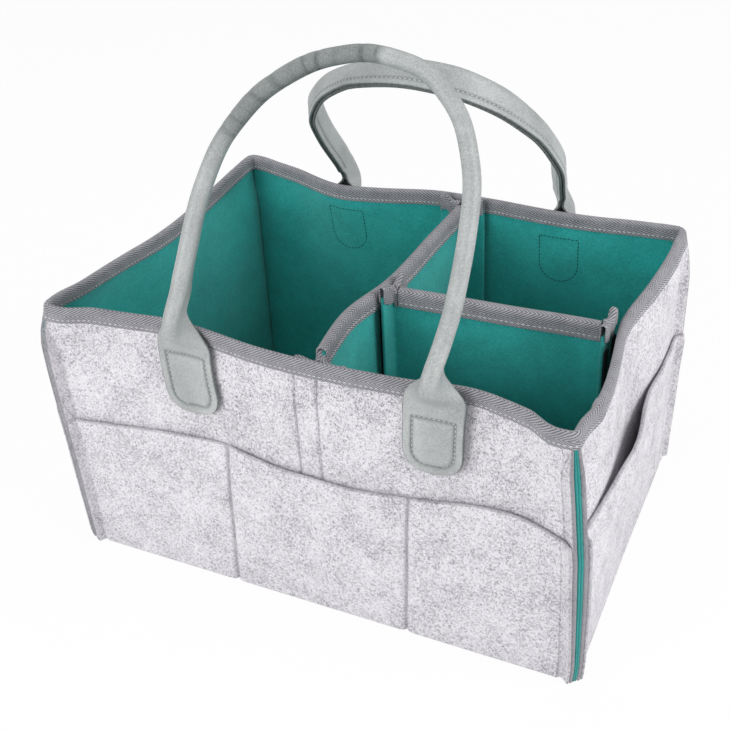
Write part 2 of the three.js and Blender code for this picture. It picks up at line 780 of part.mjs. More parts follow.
const sides = {
  main: { layers: ['left', 'right'], ends: ['front', 'back'] },
  cross: { layers: ['front', 'back'], ends: ['left', 'right'] },
};
for (const [name, divider] of Object.entries(dividers)) {
  const { layers, ends } = sides[name];
  bag.add(piece(`${name}_divider_binding`, dividerTape(divider), greyTape));
  [-1, 1].forEach((side, i) => {
    bag.add(piece(`${name}_divider_${layers[i]}_layer`, dividerLayer(divider, side), tealFelt));
    const [startName, endName] = ends.map((end) => `${name}_divider_${end}_${layers[i]}_tape`);
    bag.add(piece(startName, flangeTape(divider, true, side), blackTape));
    bag.add(piece(endName, flangeTape(divider, false, side), blackTape));
  });
}
bag.add(piece('main_divider_side_tape', sideTape(), blackTape));

bag.add(handle('front', walls.front, frontHandleLean, frontInwardSwing));
bag.add(handle('back', walls.back, backHandleLean, backInwardSwing));

export default bag;
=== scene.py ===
# Felt bag for nappies and baby things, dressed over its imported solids.
# Shapes are worked out in millimetres, +Z up, front at -Y, and put into the meshes in metres.

import bpy
import numpy as np
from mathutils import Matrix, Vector


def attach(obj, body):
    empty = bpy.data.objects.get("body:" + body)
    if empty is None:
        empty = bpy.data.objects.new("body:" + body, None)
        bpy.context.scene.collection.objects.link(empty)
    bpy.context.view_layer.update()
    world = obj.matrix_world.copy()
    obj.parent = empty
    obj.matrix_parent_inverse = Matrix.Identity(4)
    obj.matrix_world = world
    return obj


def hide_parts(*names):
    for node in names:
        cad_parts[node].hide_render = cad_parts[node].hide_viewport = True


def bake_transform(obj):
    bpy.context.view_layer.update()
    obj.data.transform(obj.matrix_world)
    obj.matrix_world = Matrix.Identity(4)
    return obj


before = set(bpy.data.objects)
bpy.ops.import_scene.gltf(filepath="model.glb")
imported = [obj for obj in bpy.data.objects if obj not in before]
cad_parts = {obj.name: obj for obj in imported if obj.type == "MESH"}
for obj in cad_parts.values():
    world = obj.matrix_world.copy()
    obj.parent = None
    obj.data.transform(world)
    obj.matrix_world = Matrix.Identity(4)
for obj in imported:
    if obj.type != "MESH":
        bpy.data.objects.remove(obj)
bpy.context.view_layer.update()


# Camera
camera = {
    "place": (289.96, -591.76, 530.29),
    "turned": (57.433, 2.628, 25.566),  # degrees about X, Y and Z
    "focalPixels": 1186.11,
    "framePixels": 730,
    "sensorWidth": 36,
}

cameraData = bpy.data.cameras.new("camera")
cameraData.sensor_width = camera["sensorWidth"]
cameraData.lens = camera["focalPixels"] / camera["framePixels"] * camera["sensorWidth"]
cameraObject = bpy.data.objects.new("camera", cameraData)
cameraObject.location = Vector(camera["place"]) * 0.001
cameraObject.rotation_euler = np.radians(camera["turned"])
bpy.context.scene.collection.objects.link(cameraObject)
bpy.context.scene.camera = cameraObject


# Shader maths
class Wire:
    # One socket of a look's nodes. Arithmetic on it adds Math nodes.
    def __init__(self, look, socket):
        self.look, self.socket = look, socket

    def math(self, operation, *values):
        return self.look.add("ShaderNodeMath", {"operation": operation}, *values)

    def sine(self):
        return self.math("SINE", self)

    def __add__(self, other):
        return self.math("ADD", self, other)

    def __sub__(self, other):
        return self.math("SUBTRACT", self, other)

    def __rsub__(self, other):
        return self.math("SUBTRACT", other, self)

    def __mul__(self, other):
        return self.math("MULTIPLY", self, other)

    __radd__ = __add__
    __rmul__ = __mul__


class Look:
    # A material and its Principled shader, whose sockets take plain values or wires
    def __init__(self, name, **constants):
        self.material = bpy.data.materials.new(name)
        self.material.use_nodes = True
        self.nodes = self.material.node_tree.nodes
        self.links = self.material.node_tree.links
        self.shader = self.nodes["Principled BSDF"]
        self.finish(**constants)

    def give(self, socket, value):
        if isinstance(value, Wire):
            self.links.new(value.socket, socket)
        elif hasattr(value, "__len__") and len(value) == 3 and len(socket.default_value) == 4:
            socket.default_value = (*value, 1)
        else:
            socket.default_value = value

    def add(self, kind, settings=None, *values, out=0, **named):
        # A node of any type: its settings first, then the values or links of its sockets, in order or by name
        node = self.nodes.new(kind)
        for setting, value in (settings or {}).items():
            setattr(node, setting, value)
        for index, value in enumerate(values):
            self.give(node.inputs[index], value)
        for socket, value in named.items():
            self.give(node.inputs[socket.replace("_", " ")], value)
        return Wire(self, node.outputs[out])

    def noise(self, place, scale, detail=2, rough=0.5, distortion=0):
        return self.add("ShaderNodeTexNoise", Vector=place, Scale=scale, Detail=detail, Roughness=rough,
                        Distortion=distortion)

    def ramp(self, wire, *stops):
        # Colours at given values of the wire, blended between them
        node = self.nodes.new("ShaderNodeValToRGB")
        elements = node.color_ramp.elements
        while len(elements) < len(stops):
            elements.new(0.5)
        for element, (place, colour) in zip(elements, stops):
            element.position, element.color = place, (*colour, 1)
        self.give(node.inputs[0], wire)
        return Wire(self, node.outputs[0])

    def mix(self, share, first, second):
        node = self.nodes.new("ShaderNodeMix")
        node.data_type = "RGBA"
        for index, value in ((0, share), (6, first), (7, second)):
            self.give(node.inputs[index], value)
        return Wire(self, node.outputs[2])

    def bump(self, height, strength, distance):
        return self.add("ShaderNodeBump", Height=height, Strength=strength, Distance=distance)

    def objectPlace(self):
        return self.add("ShaderNodeTexCoord", out=3)

    def uvPlace(self):
        return self.add("ShaderNodeTexCoord", out=2)

    def mark(self):
        # The mesh's mark from 0 to 1: raw edges, worn seams, and painted shade in grooves, creases and
        # corners
        return self.add("ShaderNodeAttribute", {"attribute_name": "rawEdgeAndShade"}, out=2)

    def finish(self, **sockets):
        for socket, value in sockets.items():
            self.give(self.shader.inputs[socket.replace("_", " ")], value)
        return self.material


def linear(*srgb):
    # A colour written as 0..255 sRGB, as the shader's linear values
    part = np.array(srgb) / 255
    return tuple(float(c) for c in np.where(part <= 0.04045, part / 12.92, ((part + 0.055) / 1.055) ** 2.4))


# Materials
def feltLook(name, pale, middle, dark, cloud, fleck):
    # Pressed fibre: wide soft clouds, blotches of about 10 mm, flecks and specks of darker fibre and fine
    # curly hairs. Marked places are darker: cut edges and crushed seams, and painted shade in seam folds,
    # stitch grooves and the liners' inside corners.
    look = Look(name, Roughness=0.95, Specular_IOR_Level=0.15, Sheen_Weight=0.25, Sheen_Roughness=0.6)
    place = look.objectPlace()
    clouds = look.noise(place, 42, 3, 0.6)
    flecks = look.noise(place, 640, 4, 0.66, 0.9)
    specks = look.noise(place, 1400, 3, 0.7, 1.2)
    hairs = look.noise(place, 2600, 2, 0.6, 2.5)
    blotch = look.noise(place, 95, 4, 0.62, 0.6)
    shade = ((clouds - 0.5) * cloud * 0.8 + (blotch - 0.5) * cloud * 0.6
             + (flecks - 0.5) * fleck * (blotch * 1.8 + 0.5) + (specks - 0.5) * fleck * 1.8 + 0.54)
    tone = look.ramp(shade, (0.2, dark), (0.48, middle), (0.74, pale))
    # painted shade: marked folds, grooves and corners mix towards a deep tone of the felt, as cut edges do
    tone = look.mix(look.mark() * (0.45 + flecks * 0.5), tone, tuple(c * 0.55 for c in dark))
    height = flecks * 0.35 + specks * 0.4 + hairs * 0.35
    return look.finish(Base_Color=tone, Normal=look.bump(height, 0.55, 0.0009))


greyFelt = feltLook("greyFelt", linear(241, 237, 242), linear(223, 219, 224), linear(142, 139, 147),
                    cloud=0.75, fleck=1.5)
tealFelt = feltLook("tealFelt", linear(49, 190, 184), linear(32, 168, 163), linear(18, 134, 130),
                    cloud=0.5, fleck=0.5)


def tapeLook(name, pale, dark, pitch, half):
    # Herringbone weave: slanting ribs whose slant turns over at every half width, read from the UV map
    look = Look(name, Roughness=0.8, Specular_IOR_Level=0.25, Sheen_Weight=0.15)
    uv = look.uvPlace()
    parts = look.nodes.new("ShaderNodeSeparateXYZ")
    look.links.new(uv.socket, parts.inputs[0])
    along, across = Wire(look, parts.outputs[0]), Wire(look, parts.outputs[1])
    fold = look.add("ShaderNodeMath", {"operation": "PINGPONG"}, across, half)
    rib = ((along * 0.55 + fold) * (2 * np.pi / pitch)).sine()
    yarn = ((along - fold * 0.6) * (2 * np.pi / (pitch * 0.62))).sine()
    fibre = look.noise(uv, 1800, 3, 0.7)
    dirt = look.noise(uv, 160, 2)
    rise = rib * 0.5 + yarn * 0.12 + 0.5
    tone = look.ramp(rise * 0.62 + fibre * 0.5 + (dirt - 0.5) * 0.35 - 0.06, (0.15, dark), (0.85, pale))
    return look.finish(Base_Color=tone, Normal=look.bump(rise * 0.7 + fibre * 0.3, 0.7, 0.0006))


greyTape = tapeLook("greyTape", linear(188, 187, 192), linear(94, 93, 99), pitch=0.0014, half=0.005)


def hookLook():
    # Hook tape: rows of short dark loops
    look = Look("blackTape", Roughness=0.85, Specular_IOR_Level=0.3)
    place = look.objectPlace()
    loops = look.add("ShaderNodeTexVoronoi", Vector=place, Scale=1100, Randomness=0.4)
    tone = look.ramp(loops, (0.0, linear(44, 47, 49)), (0.7, linear(14, 16, 17)))
    return look.finish(Base_Color=tone, Normal=look.bump(1 - loops, 0.8, 0.0008))


blackTape = hookLook()


def leatherLook():
    # Smooth soft leather: a very fine pebble and soft clouds. Marked places are dark and dull: raw edges,
    # and painted shade in the stitched grooves and the creases.
    look = Look("greyLeather", Specular_IOR_Level=0.4, Coat_Roughness=0.35)
    place = look.uvPlace()
    pebble = look.add("ShaderNodeTexVoronoi", Vector=place, Scale=1300)
    fine = look.noise(place, 900, 3, 0.6)
    cloud = look.noise(place, 40, 3, 0.55)
    rub = look.noise(place, 14, 2, 0.5)
    rawAndShade = look.mark()
    grain = (pebble - 0.4) * 0.35 + (fine - 0.5) * 0.55
    shade = cloud * 0.7 + rub * 0.3 + grain
    skin = look.ramp(shade, (0.25, linear(146, 149, 149)), (0.75, linear(188, 191, 190)))
    # dark tone of raw edges, also used as painted shade in grooves and creases
    edge = look.ramp(fine, (0.3, linear(88, 94, 93)), (0.7, linear(126, 131, 130)))
    tone = look.mix(rawAndShade, skin, edge)
    gloss = 0.38 + (fine - 0.5) * 0.2 + rawAndShade * 0.35
    return look.finish(Base_Color=tone, Roughness=gloss, Coat_Weight=0.25 * (1 - rawAndShade),
                       Normal=look.bump(pebble * 0.6 + fine * 0.6, 0.5, 0.0005))


greyLeather = leatherLook()


def threadLook(name, colour):
    # Twisted sewing thread
    look = Look(name, Roughness=0.6, Specular_IOR_Level=0.3)
    place = look.objectPlace()
    twist = look.noise(place, 3000, 2, 0.6)
    pale = tuple(min(1, c * 1.15) for c in colour)
    deep = tuple(c * 0.75 for c in colour)
    tone = look.ramp(twist, (0.35, deep), (0.65, pale))
    return look.finish(Base_Color=tone, Normal=look.bump(twist, 0.4, 0.0002))


greyThread = threadLook("greyThread", linear(178, 177, 183))
whiteThread = threadLook("whiteThread", linear(216, 216, 220))
leatherThread = threadLook("leatherThread", linear(214, 217, 216))
tealThread = threadLook("tealThread", linear(14, 84, 80))
cordLook = threadLook("cordFibre", linear(228, 224, 214))

print("materials made")


# Bag
bag = {
    "height": 183,
    "rimStart": 168.5,      # above this the rim tape holds the walls upright
    "bowPower": 2.2,        # how late in its height a wall turns in or out
    "seamReach": 10,        # corner seams stand out by this much, and run out under the tape
    "seamStub": 2,          # what is left of them there
    "seamFull": 146.5,      # they are full up to this height and taper over the next stretch
    "seamTaper": 22,
    "foldRound": 1.6,
    "flareWidth": 50,       # how far along a wall the corner's flare reaches
    "rimPress": 0.42,       # the binding squeezes the felt at the rim by this share
    "pressFrom": 148,       # from this height up, more and more over the next stretch
    "pressOver": 24,
    "seamPress": (0.34, 0.12),  # and the stitches in a corner seam, at the bottom and higher up
    "ripple": 0.9,          # hand-made unevenness of the felt
}

# Depths of the sheets outwards from the line where two liners meet, as in the solids
depths = {"liner": (0.0, 1.95), "outer": (2.25, 5.25), "pocket": (5.55, 8.15)}

# Each wall in its own frame: s along it to the right as seen from outside, n outwards.
# rim notes how far the top edge is drawn in (+) or stands out (-) along s, top how high it stands, and
# seams the angles by which the sheets turn out into the seams at its left and right end.
walls = {
    "front": {"turn": 0, "halfSpan": 153.75, "reach": 109.75, "seams": (62, 45),
              "rim": [(-160, -4.5), (-151, -0.6), (-132, 3.5), (-113, 7.6), (-94, 11.4), (-78, 10.6),
                      (-57, 7.4), (-38, 4.0), (-19, 2.0), (5, 2.1), (35, 3.8), (64, 7.8), (82, 13.5),
                      (100, 17.4), (119, 12.6), (145, 1.3), (160, -4.6)],
              "top": [(-160, 180.5), (-145, 179.2), (-114, 177.2), (-51, 178.8), (0, 178.6), (49, 177.4),
                      (80, 175.6), (102, 175.0), (126, 176.0), (146, 178.8), (160, 179.5)]},
    "right": {"turn": 1, "halfSpan": 109.75, "reach": 153.75, "seams": (45, 45),
              "rim": [(-116, -6.2), (-91, -8.3), (-64, -7.7), (-36, -4.4), (-10, -0.2), (0, 1.6),
                      (14, 1.0), (38, -1.8), (77, -5.1), (102, -6.0), (116, -5.7)],
              "top": [(-116, 179.5), (-95, 177.5), (-50, 176.5), (0, 176.5), (40, 178), (72, 180.5),
                      (116, 184)]},
    "back": {"turn": 2, "halfSpan": 153.75, "reach": 109.75, "seams": (45, 45),
             "rim": [(-160, -5.7), (-124, -3.5), (-105, 0.2), (-84, 3.1), (-40, 2.2), (6, 2.8), (34, 10.4),
                     (74, 18.5), (95, 11.5), (112, 3.6), (130, -1.5), (160, -5.5)],
             "top": [(-160, 184), (-110, 183.2), (-35, 184.4), (0, 184.3), (40, 183.6), (75, 182.6),
                     (100, 182), (127, 181.6), (151, 183), (160, 183)]},
    "left": {"turn": 3, "halfSpan": 109.75, "reach": 153.75, "seams": (45, 28),
             "rim": [(-116, -6.2), (-100, -5.6), (-72, -4.0), (-45, -2.0), (-16, 0.0), (24, 2.6),
                     (56, 1.2), (90, -0.8), (116, -5.5)],
             "top": [(-116, 183), (-85, 181.6), (-54, 179.6), (-6, 178.8), (30, 181), (70, 182),
                     (103, 181.5), (116, 180.5)]},
}

# How the corners of the real bag stand, against a square one: x, y, z moves at the 8 corners
corners = {
    "top": {(-1, -1): (-5.5, -1.5, 4.3), (1, -1): (1.9, -1.3, -1.6), (1, 1): (-0.2, 0.6, -0.8),
            (-1, 1): (-2.2, 2.9, 5.1)},
    "bottom": {(-1, -1): (-5.6, -0.9, 0), (1, -1): (9.7, 0.5, 0), (1, 1): (1.6, 3.9, 0),
               (-1, 1): (-0.1, -0.6, 0)},
    "halfX": 166,
    "halfY": 122,
    # how far a corner swells sideways between the floor and the rim, as z and move; the swelling grows from a
    # place and over a distance along x and along y
    "bellyGrows": ((88, 62), (-10, 105)),
    "belly": {(-1, -1): [(0, 3.9), (20, 5.0), (39, 5.9), (58, 6.7), (76, 7.4), (95, 8.9), (113, 10.2),
                         (132, 11.0), (150, 11.2), (160, 9.4), (169, 6.2), (176, 3.4), (183, 2.8)],
              (1, -1): [(0, 0), (15, 1.4), (54, 2.5), (93, 3.1), (133, 1.6), (166, 0), (183, 0)],
              (1, 1): [(0, 1.1), (38, 2.0), (77, 2.8), (97, 4.2), (146, 5.0), (156, 4.8), (166, 4.4),
                       (176, 2.4), (183, 1.0)]},
}


def smooth(t):
    # An even ease from 0 to 1
    t = np.clip(t, 0, 1)
    return t * t * (3 - 2 * t)


def gauss(t, width):
    # A bell of height 1
    return np.exp(-(t / width) ** 2)


def settle(points, lifts=False):
    # Eight corner moves, spread evenly through the box they stand at. What lifts out stands upright: all of
    # it takes the moves of the rim.
    z = np.full(points.shape[:-1], float(bag["height"])) if lifts else points[..., 2]
    u = np.clip((points[..., 0] / corners["halfX"] + 1) / 2, 0, 1)[..., None]
    v = np.clip((points[..., 1] / corners["halfY"] + 1) / 2, 0, 1)[..., None]
    w = np.clip(z / bag["height"], 0, 1)[..., None]
    moved = points.copy()
    for level, part in (("bottom", 1 - w), ("top", w)):
        for (x, y), move in corners[level].items():
            moved = moved + (u if x > 0 else 1 - u) * (v if y > 0 else 1 - v) * part * np.array(move, float)
    (fromX, overX), (fromY, overY) = corners["bellyGrows"]
    for (x, y), notes in corners["belly"].items():
        near = smooth((x * points[..., 0] - fromX) / overX) * smooth((y * points[..., 1] - fromY) / overY)
        level, move = np.array(notes, float).T
        moved[..., 0] += x * near * np.interp(z, level, move)
    return moved


def seamLength(z):
    # Full length up to the taper, then an ease down to the stub
    loss = bag["seamReach"] - bag["seamStub"]
    return bag["seamReach"] - loss * smooth((z - bag["seamFull"]) / bag["seamTaper"])


def flare(z):
    # The seam's raw edge stands straight, so the corner spreads out by what the seam loses
    return (bag["seamReach"] - seamLength(z)) * np.sqrt(0.5)


def fromFold(wall, s):
    return wall["halfSpan"] - np.abs(s)


def cornerShare(wall, s):
    return smooth(1 - fromFold(wall, s) / bag["flareWidth"])


def softCurve(knots, s, width=6.0):
    # Notes joined by lines, then softened by a moving bell
    knots = np.array(knots, float)
    table = np.arange(-176, 177, 1.0)
    value = np.interp(table, knots[:, 0], knots[:, 1])
    bell = np.exp(-0.5 * (np.arange(-30, 31) / width) ** 2)
    value = np.convolve(np.pad(value, 30, mode="edge"), bell / bell.sum(), mode="valid")
    return np.interp(s, table, value)


for wall in walls.values():
    # Table of the rim's bow along s, with the corner flare taken out and brought to nothing at the folds
    s = np.arange(-wall["halfSpan"], wall["halfSpan"] + 0.5, 1.0)
    drawn = softCurve(wall["rim"], s, 8.0) + flare(bag["height"]) * cornerShare(wall, s)
    wall["table"] = (s, drawn * smooth(fromFold(wall, s) / 22))


def rimTop(wall, s):
    return softCurve(wall["top"], s, 9.0)


def ripple(a, b, seed):
    # Three slow waves that cross at odd angles
    crossed = np.sin(a * 0.061 + seed) * np.sin(b * 0.083 + 1.7 * seed)
    slanted = 0.6 * np.sin(a * 0.037 - b * 0.051 + 2.3 * seed) + 0.4 * np.sin(a * 0.12 + b * 0.1 + 3 * seed)
    return (crossed + slanted) / 2


def bow(wall, s, z):
    # Rim bow times a power of the height, less the flare near the corners, plus a little unevenness
    up = np.clip(z / bag["rimStart"], 0, 1)
    rim = np.interp(s, *wall["table"]) * up ** bag["bowPower"]
    calm = smooth(fromFold(wall, s) / 40) * smooth(z / 40) * (1 - 0.8 * smooth((z - 120) / 48))
    return rim - flare(z) * cornerShare(wall, s) + bag["ripple"] * calm * ripple(s, z, wall["turn"] + 1)


def toBag(wall, s, n, z):
    # From a wall's frame to the bag's, by quarter turns
    x, y = ((s, -n), (n, s), (-s, n), (-n, -s))[wall["turn"]]
    return np.stack(np.broadcast_arrays(x, y, z), -1).astype(float)


def press(across, z):
    # Share of a sheet's depth that is left where the binding or a seam's stitches squeeze the layers
    low, high = bag["seamPress"]
    seam = smooth((np.abs(across) - 1) / 0.4) * (low + (high - low) * smooth(z / 80))
    rim = bag["rimPress"] * smooth((z - bag["pressFrom"]) / bag["pressOver"])
    return (1 - rim) * (1 - seam)


def wallSurface(wall, across, z, depth, puff=0.0):
    # across runs from -1 to 1 over the wall and on to +-2 over the seams, which turn out by their angle.
    # The fold is a parabola over +-foldRound, so that sheets at all depths keep their distance:
    # turned = clip(a + r, 0, 2r)^2 / 4r + max(a - r, 0)
    angle = np.radians(np.where(across < 0, *wall["seams"]))
    depth = depth * press(across, z)
    miter = depth * np.tan(angle / 2)
    half = wall["halfSpan"] + flare(z) - miter
    a = (np.abs(across) - 1) * np.where(np.abs(across) <= 1, half, seamLength(z) - miter)
    r = bag["foldRound"]
    turned = np.clip(a + r, 0, 2 * r) ** 2 / (4 * r) + np.maximum(a - r, 0)
    s = np.sign(across) * (half + a - (1 - np.cos(angle)) * turned)
    n = wall["reach"] + depth + puff + np.sin(angle) * turned - bow(wall, s, z)
    return toBag(wall, s, n, z)


def onWall(wall, s, z, depth, puff=0.0):
    # A point of a wall's sheet away from the seams, at s and z
    return toBag(wall, s, wall["reach"] + depth * press(0 * s, z) + puff - bow(wall, s, z), z)


# Meshes
def makePiece(name, points, faces, look, body, nodes=(), uv=None, marks=None):
    # Points in millimetres and faces into a mesh whose faces look outwards, riding on a body
    points = settle(points, str(body).endswith("divider"))
    loops = [list(dict.fromkeys(face)) for face in outwards(points, faces).tolist()]
    mesh = bpy.data.meshes.new(name)
    mesh.from_pydata((points * 0.001).tolist(), [], loops)
    mesh.polygons.foreach_set("use_smooth", np.ones(len(mesh.polygons), bool))
    if uv is not None:
        corner = np.zeros(len(mesh.loops), int)
        mesh.loops.foreach_get("vertex_index", corner)
        mesh.uv_layers.new(name="surface").data.foreach_set("uv", (uv[corner] * 0.001).ravel())
    if marks is not None:
        mesh.attributes.new("rawEdgeAndShade", "FLOAT", "POINT").data.foreach_set("value", marks.astype(np.float32))
    mesh.materials.append(look)
    mesh.validate()
    mesh.update()
    piece = bpy.data.objects.new(name, mesh)
    bpy.context.scene.collection.objects.link(piece)
    if body:
        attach(piece, body)
    if nodes:
        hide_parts(*nodes)
    return piece


def outwards(points, faces):
    # A closed part's faces, turned round if its volume comes out negative
    a, b, c, d = (points[faces[:, k]] for k in range(4))
    volume = (a * np.cross(b, c)).sum() + (a * np.cross(c, d)).sum()
    return faces[:, ::-1] if volume < 0 else faces


def tubeFaces(rings, count):
    # Quads between rings of an even count of points, and strips across the two end rings
    number = np.arange(rings * count).reshape(rings, count)
    after = np.roll(number, -1, 1)
    sides = np.stack([number[:-1], number[1:], after[1:], after[:-1]], -1).reshape(-1, 4)
    k = np.arange(count // 2 - 1)
    caps = [np.stack([ring[k], ring[k + 1], ring[count - 2 - k], ring[count - 1 - k]], -1)
            for ring in (number[0], number[-1, ::-1])]
    return np.concatenate([sides, *caps])


def sheetParts(face, back, uv=None):
    # A closed sheet from two grids of points. Its rim is a half circle: three rings of points between the
    # grids' borders, at 50, 0 and -50 degrees round the middle of the edge.
    m, n = face.shape[:2]
    number = np.arange(m * n).reshape(m, n)
    border = np.concatenate([number[:, 0], number[-1, 1:], number[-2::-1, -1], number[0, -2:0:-1]])
    i, j = border // n, border % n
    inside = np.clip(i, 1, m - 2) * n + np.clip(j, 1, n - 2)
    front, rear = face.reshape(-1, 3), back.reshape(-1, 3)
    out = front[border] - front[inside] + rear[border] - rear[inside]
    half = (front[border] - rear[border]) / 2
    thick = np.linalg.norm(half, axis=1, keepdims=True)
    flat = half / np.maximum(thick, 1e-9)
    out = unit(out - (out * flat).sum(1, keepdims=True) * flat) * thick
    middle = (front[border] + rear[border]) / 2
    rings = [middle + np.sin(angle) * half + np.cos(angle) * out for angle in np.radians((50, 0, -50))]
    points = np.concatenate([front, rear, *rings])
    cells = [number[:-1, :-1], number[1:, :-1], number[1:, 1:], number[:-1, 1:]]
    cells = np.stack(cells, -1).reshape(-1, 4)
    count = len(border)
    levels = [border, *(2 * m * n + k * count + np.arange(count) for k in range(3)), border + m * n]
    edges = [np.stack([lower, upper, np.roll(upper, -1), np.roll(lower, -1)], -1)
             for lower, upper in zip(levels, levels[1:])]
    faces = np.concatenate([cells, (cells + m * n)[:, ::-1], *edges])
    marks = np.concatenate([np.zeros(2 * m * n), np.ones(3 * count)])
    if uv is not None:
        uv = uv.reshape(-1, 2)
        uv = np.concatenate([uv, uv] + [uv[border]] * 3)
    return points, faces, uv, marks


def joinParts(parts):
    # Several closed parts as one mesh's points, faces and UVs
    shift, faces = 0, []
    for points, quads, _ in parts:
        faces.append(quads + shift)
        shift += len(points)
    points, _, uv = zip(*parts)
    return np.concatenate(points), np.concatenate(faces), None if uv[0] is None else np.concatenate(uv)


def declareCloth(middle):
    # The sheet's middle surface in metres and its cells' diagonal cross products, which are not kept
    middle = middle * 0.001
    cell = np.cross(middle[1:, :-1] - middle[:-1, 1:], middle[1:, 1:] - middle[:-1, :-1])


def makeSheet(name, face, back, look, body, node, held=None, wearAndShade=None, edgeWear=0.5):
    # A piece from the grids of its face and back; if it says how it is held, its middle goes to declareCloth
    points, faces, _, marks = sheetParts(face, back)
    marks = marks * edgeWear
    if wearAndShade is not None:
        # the given marks, seam wear and painted shade, take the place of the faces' own
        marks[: 2 * wearAndShade.size] = np.concatenate([wearAndShade.ravel()] * 2)
    piece = makePiece(name, points, faces, look, body, [node], None, marks)
    if held:
        declareCloth((face + back) / 2)


def unit(vectors):
    return vectors / np.maximum(np.linalg.norm(vectors, axis=-1, keepdims=True), 1e-9)


def lengthsAlong(path):
    # The length of a line of points up to each of them
    return np.concatenate([[0], np.cumsum(np.linalg.norm(np.diff(path, axis=0), axis=1))])


def resample(path, step):
    # Even steps along a line of points
    path = np.asarray(path, float)
    lengths = lengthsAlong(path)
    at = np.linspace(0, lengths[-1], max(2, int(round(lengths[-1] / step)) + 1))
    return np.stack([np.interp(at, lengths, values) for values in path.T], -1)


def soften(path, step, width):
    # A line with its corners rounded by a moving bell, its two ends kept
    line = resample(path, step)
    reach = int(3 * width / step)
    bell = np.exp(-0.5 * (np.arange(-reach, reach + 1) * step / width) ** 2)
    head = 2 * line[0] - line[reach:0:-1]
    tail = 2 * line[-1] - line[-2:-reach - 2:-1]
    padded = np.concatenate([head, line, tail])
    return np.stack([np.convolve(values, bell / bell.sum(), mode="valid") for values in padded.T], -1)


# Stitches by where they are: their pitch, length, width and height. All lie deeper in the cloth by sink, a
# share of their height.
stitches = {
    "wall": {"pitch": 3.4, "long": 2.4, "wide": 0.6, "tall": 0.45},
    "liner": {"pitch": 2.7, "long": 2.4, "wide": 0.7, "tall": 0.5},
    "rim": {"pitch": 3.0, "long": 2.0, "wide": 0.75, "tall": 0.6},
    "divider": {"pitch": 3.2, "long": 2.3, "wide": 0.7, "tall": 0.5},
    "tab": {"pitch": 2.7, "long": 2.0, "wide": 0.75, "tall": 0.6},
    "fin": {"pitch": 2.8, "long": 2.1, "wide": 0.65, "tall": 0.5},
    # rings of a stitch: how far along it, share of its girth and how far up, as shares of its sizes
    "rings": [(-0.5, 0.35, -0.25), (-0.3, 0.95, 0.1), (0.0, 1.0, 0.25), (0.3, 0.95, 0.1), (0.5, 0.35, -0.25)],
    "sides": 6,
    "sink": 0.15,
}


def stitchParts(path, normals, pitch, long, wide, tall):
    # A row of stitches: each is a small spindle, rings of points along the path, half sunk in the cloth
    lengths = lengthsAlong(path)
    count = int(lengths[-1] // pitch)
    at = (np.arange(count) + 0.5) * lengths[-1] / count

    def pick(values, t):
        return np.stack([np.interp(t, lengths, row) for row in values.T], -1)

    middle = pick(path, at)
    along = unit(pick(path, at + long / 2) - pick(path, at - long / 2))
    side = unit(np.cross(unit(pick(normals, at)), along))
    up = np.cross(along, side)
    angle = np.arange(stitches["sides"]) * 2 * np.pi / stitches["sides"]
    # axes: stitch, ring, side of the ring
    reach, girth, rise = np.array(stitches["rings"]).T[:, :, None]
    ahead = reach * long + 0 * angle
    aside = girth * wide / 2 * np.cos(angle)
    above = girth * tall / 2 * np.sin(angle) + rise * tall - stitches["sink"] * tall
    along, side, up = (vectors[:, None, None] for vectors in (along, side, up))
    offset = ahead[..., None] * along + aside[..., None] * side + above[..., None] * up
    points = (middle[:, None, None] + offset).reshape(-1, 3)
    faces = tubeFaces(len(stitches["rings"]), stitches["sides"])
    size = len(points) // count
    faces = (faces[None] + size * np.arange(count)[:, None, None]).reshape(-1, 4)
    return points, outwards(points, faces), None


def makeStitches(kind, name, rows, look, body):
    points, faces, _ = joinParts([stitchParts(*row, **stitches[kind]) for row in rows])
    makePiece(name, points, faces, look, body)


def sweepParts(path, across, section, thickness):
    # A bent strip: the section's middle line (p across, q upwards) carried along the path, with half the
    # thickness to either side along the section's own normal
    slope = unit(np.gradient(section, axis=0))
    normal = np.stack([slope[:, 1], -slope[:, 0]], -1) * thickness / 2

    def place(pq):
        return path[:, None] + pq[None, :, :1] * across[:, None] + pq[None, :, 1:] * np.array([0, 0, 1.0])

    u, v = lengthsAlong(path), lengthsAlong(section)
    uv = np.stack(np.broadcast_arrays(u[:, None], v[None]), -1)
    points, faces, uv, _ = sheetParts(place(section + normal), place(section - normal), uv)
    return points, outwards(points, faces), uv


def arch(halfWidth, legLength, lowest=0.0):
    # Section of a folded tape: up one leg, round the top and down the other
    angle = np.linspace(np.pi, 0, 13)
    top = np.stack([halfWidth * np.cos(angle), halfWidth * (np.sin(angle) - 1) + lowest], -1)
    fall = np.linspace(legLength, halfWidth, 7)[:-1, None] * np.array([[0, -1.0]])
    left = fall + [-halfWidth, lowest]
    right = fall[::-1] + [halfWidth, lowest]
    return np.concatenate([left, top, right])


# Walls
felt = {
    "columnStep": 4.2, "rowStep": 4.6, "belowRim": 2.4, "bottom": 1.4,
    "foldStops": (0.6, 1.3, 2.0, 3.2, 5.4),     # how far from a fold the columns lie
    "seamColumns": (1.0, 1.06, 1.13, 1.22, 1.4, 1.65, 1.9, 2.0),
    "rowColumns": (-2.2, -1.4, -0.7, 0, 0.7, 1.4, 2.2),
    "hem": 7.0,             # height of the stitches along the bottom
    "hemSink": 0.5,         # how deep the hem, a row of stitches and a corner seam press the felt
    "rowSink": 0.9,
    "seamSink": 0.8,
    # s of the stitches that hold the hook tape inside, and where they end at the top
    "centreRows": {"front": (-1.5, 12.2), "back": (-12.2, 1.5)},
    "rowTop": 167,
    # share of a seam that the liner reaches into, where it isn't all
    "linerShare": {"front": (0.7, 1), "left": (1, 0.7)},
}


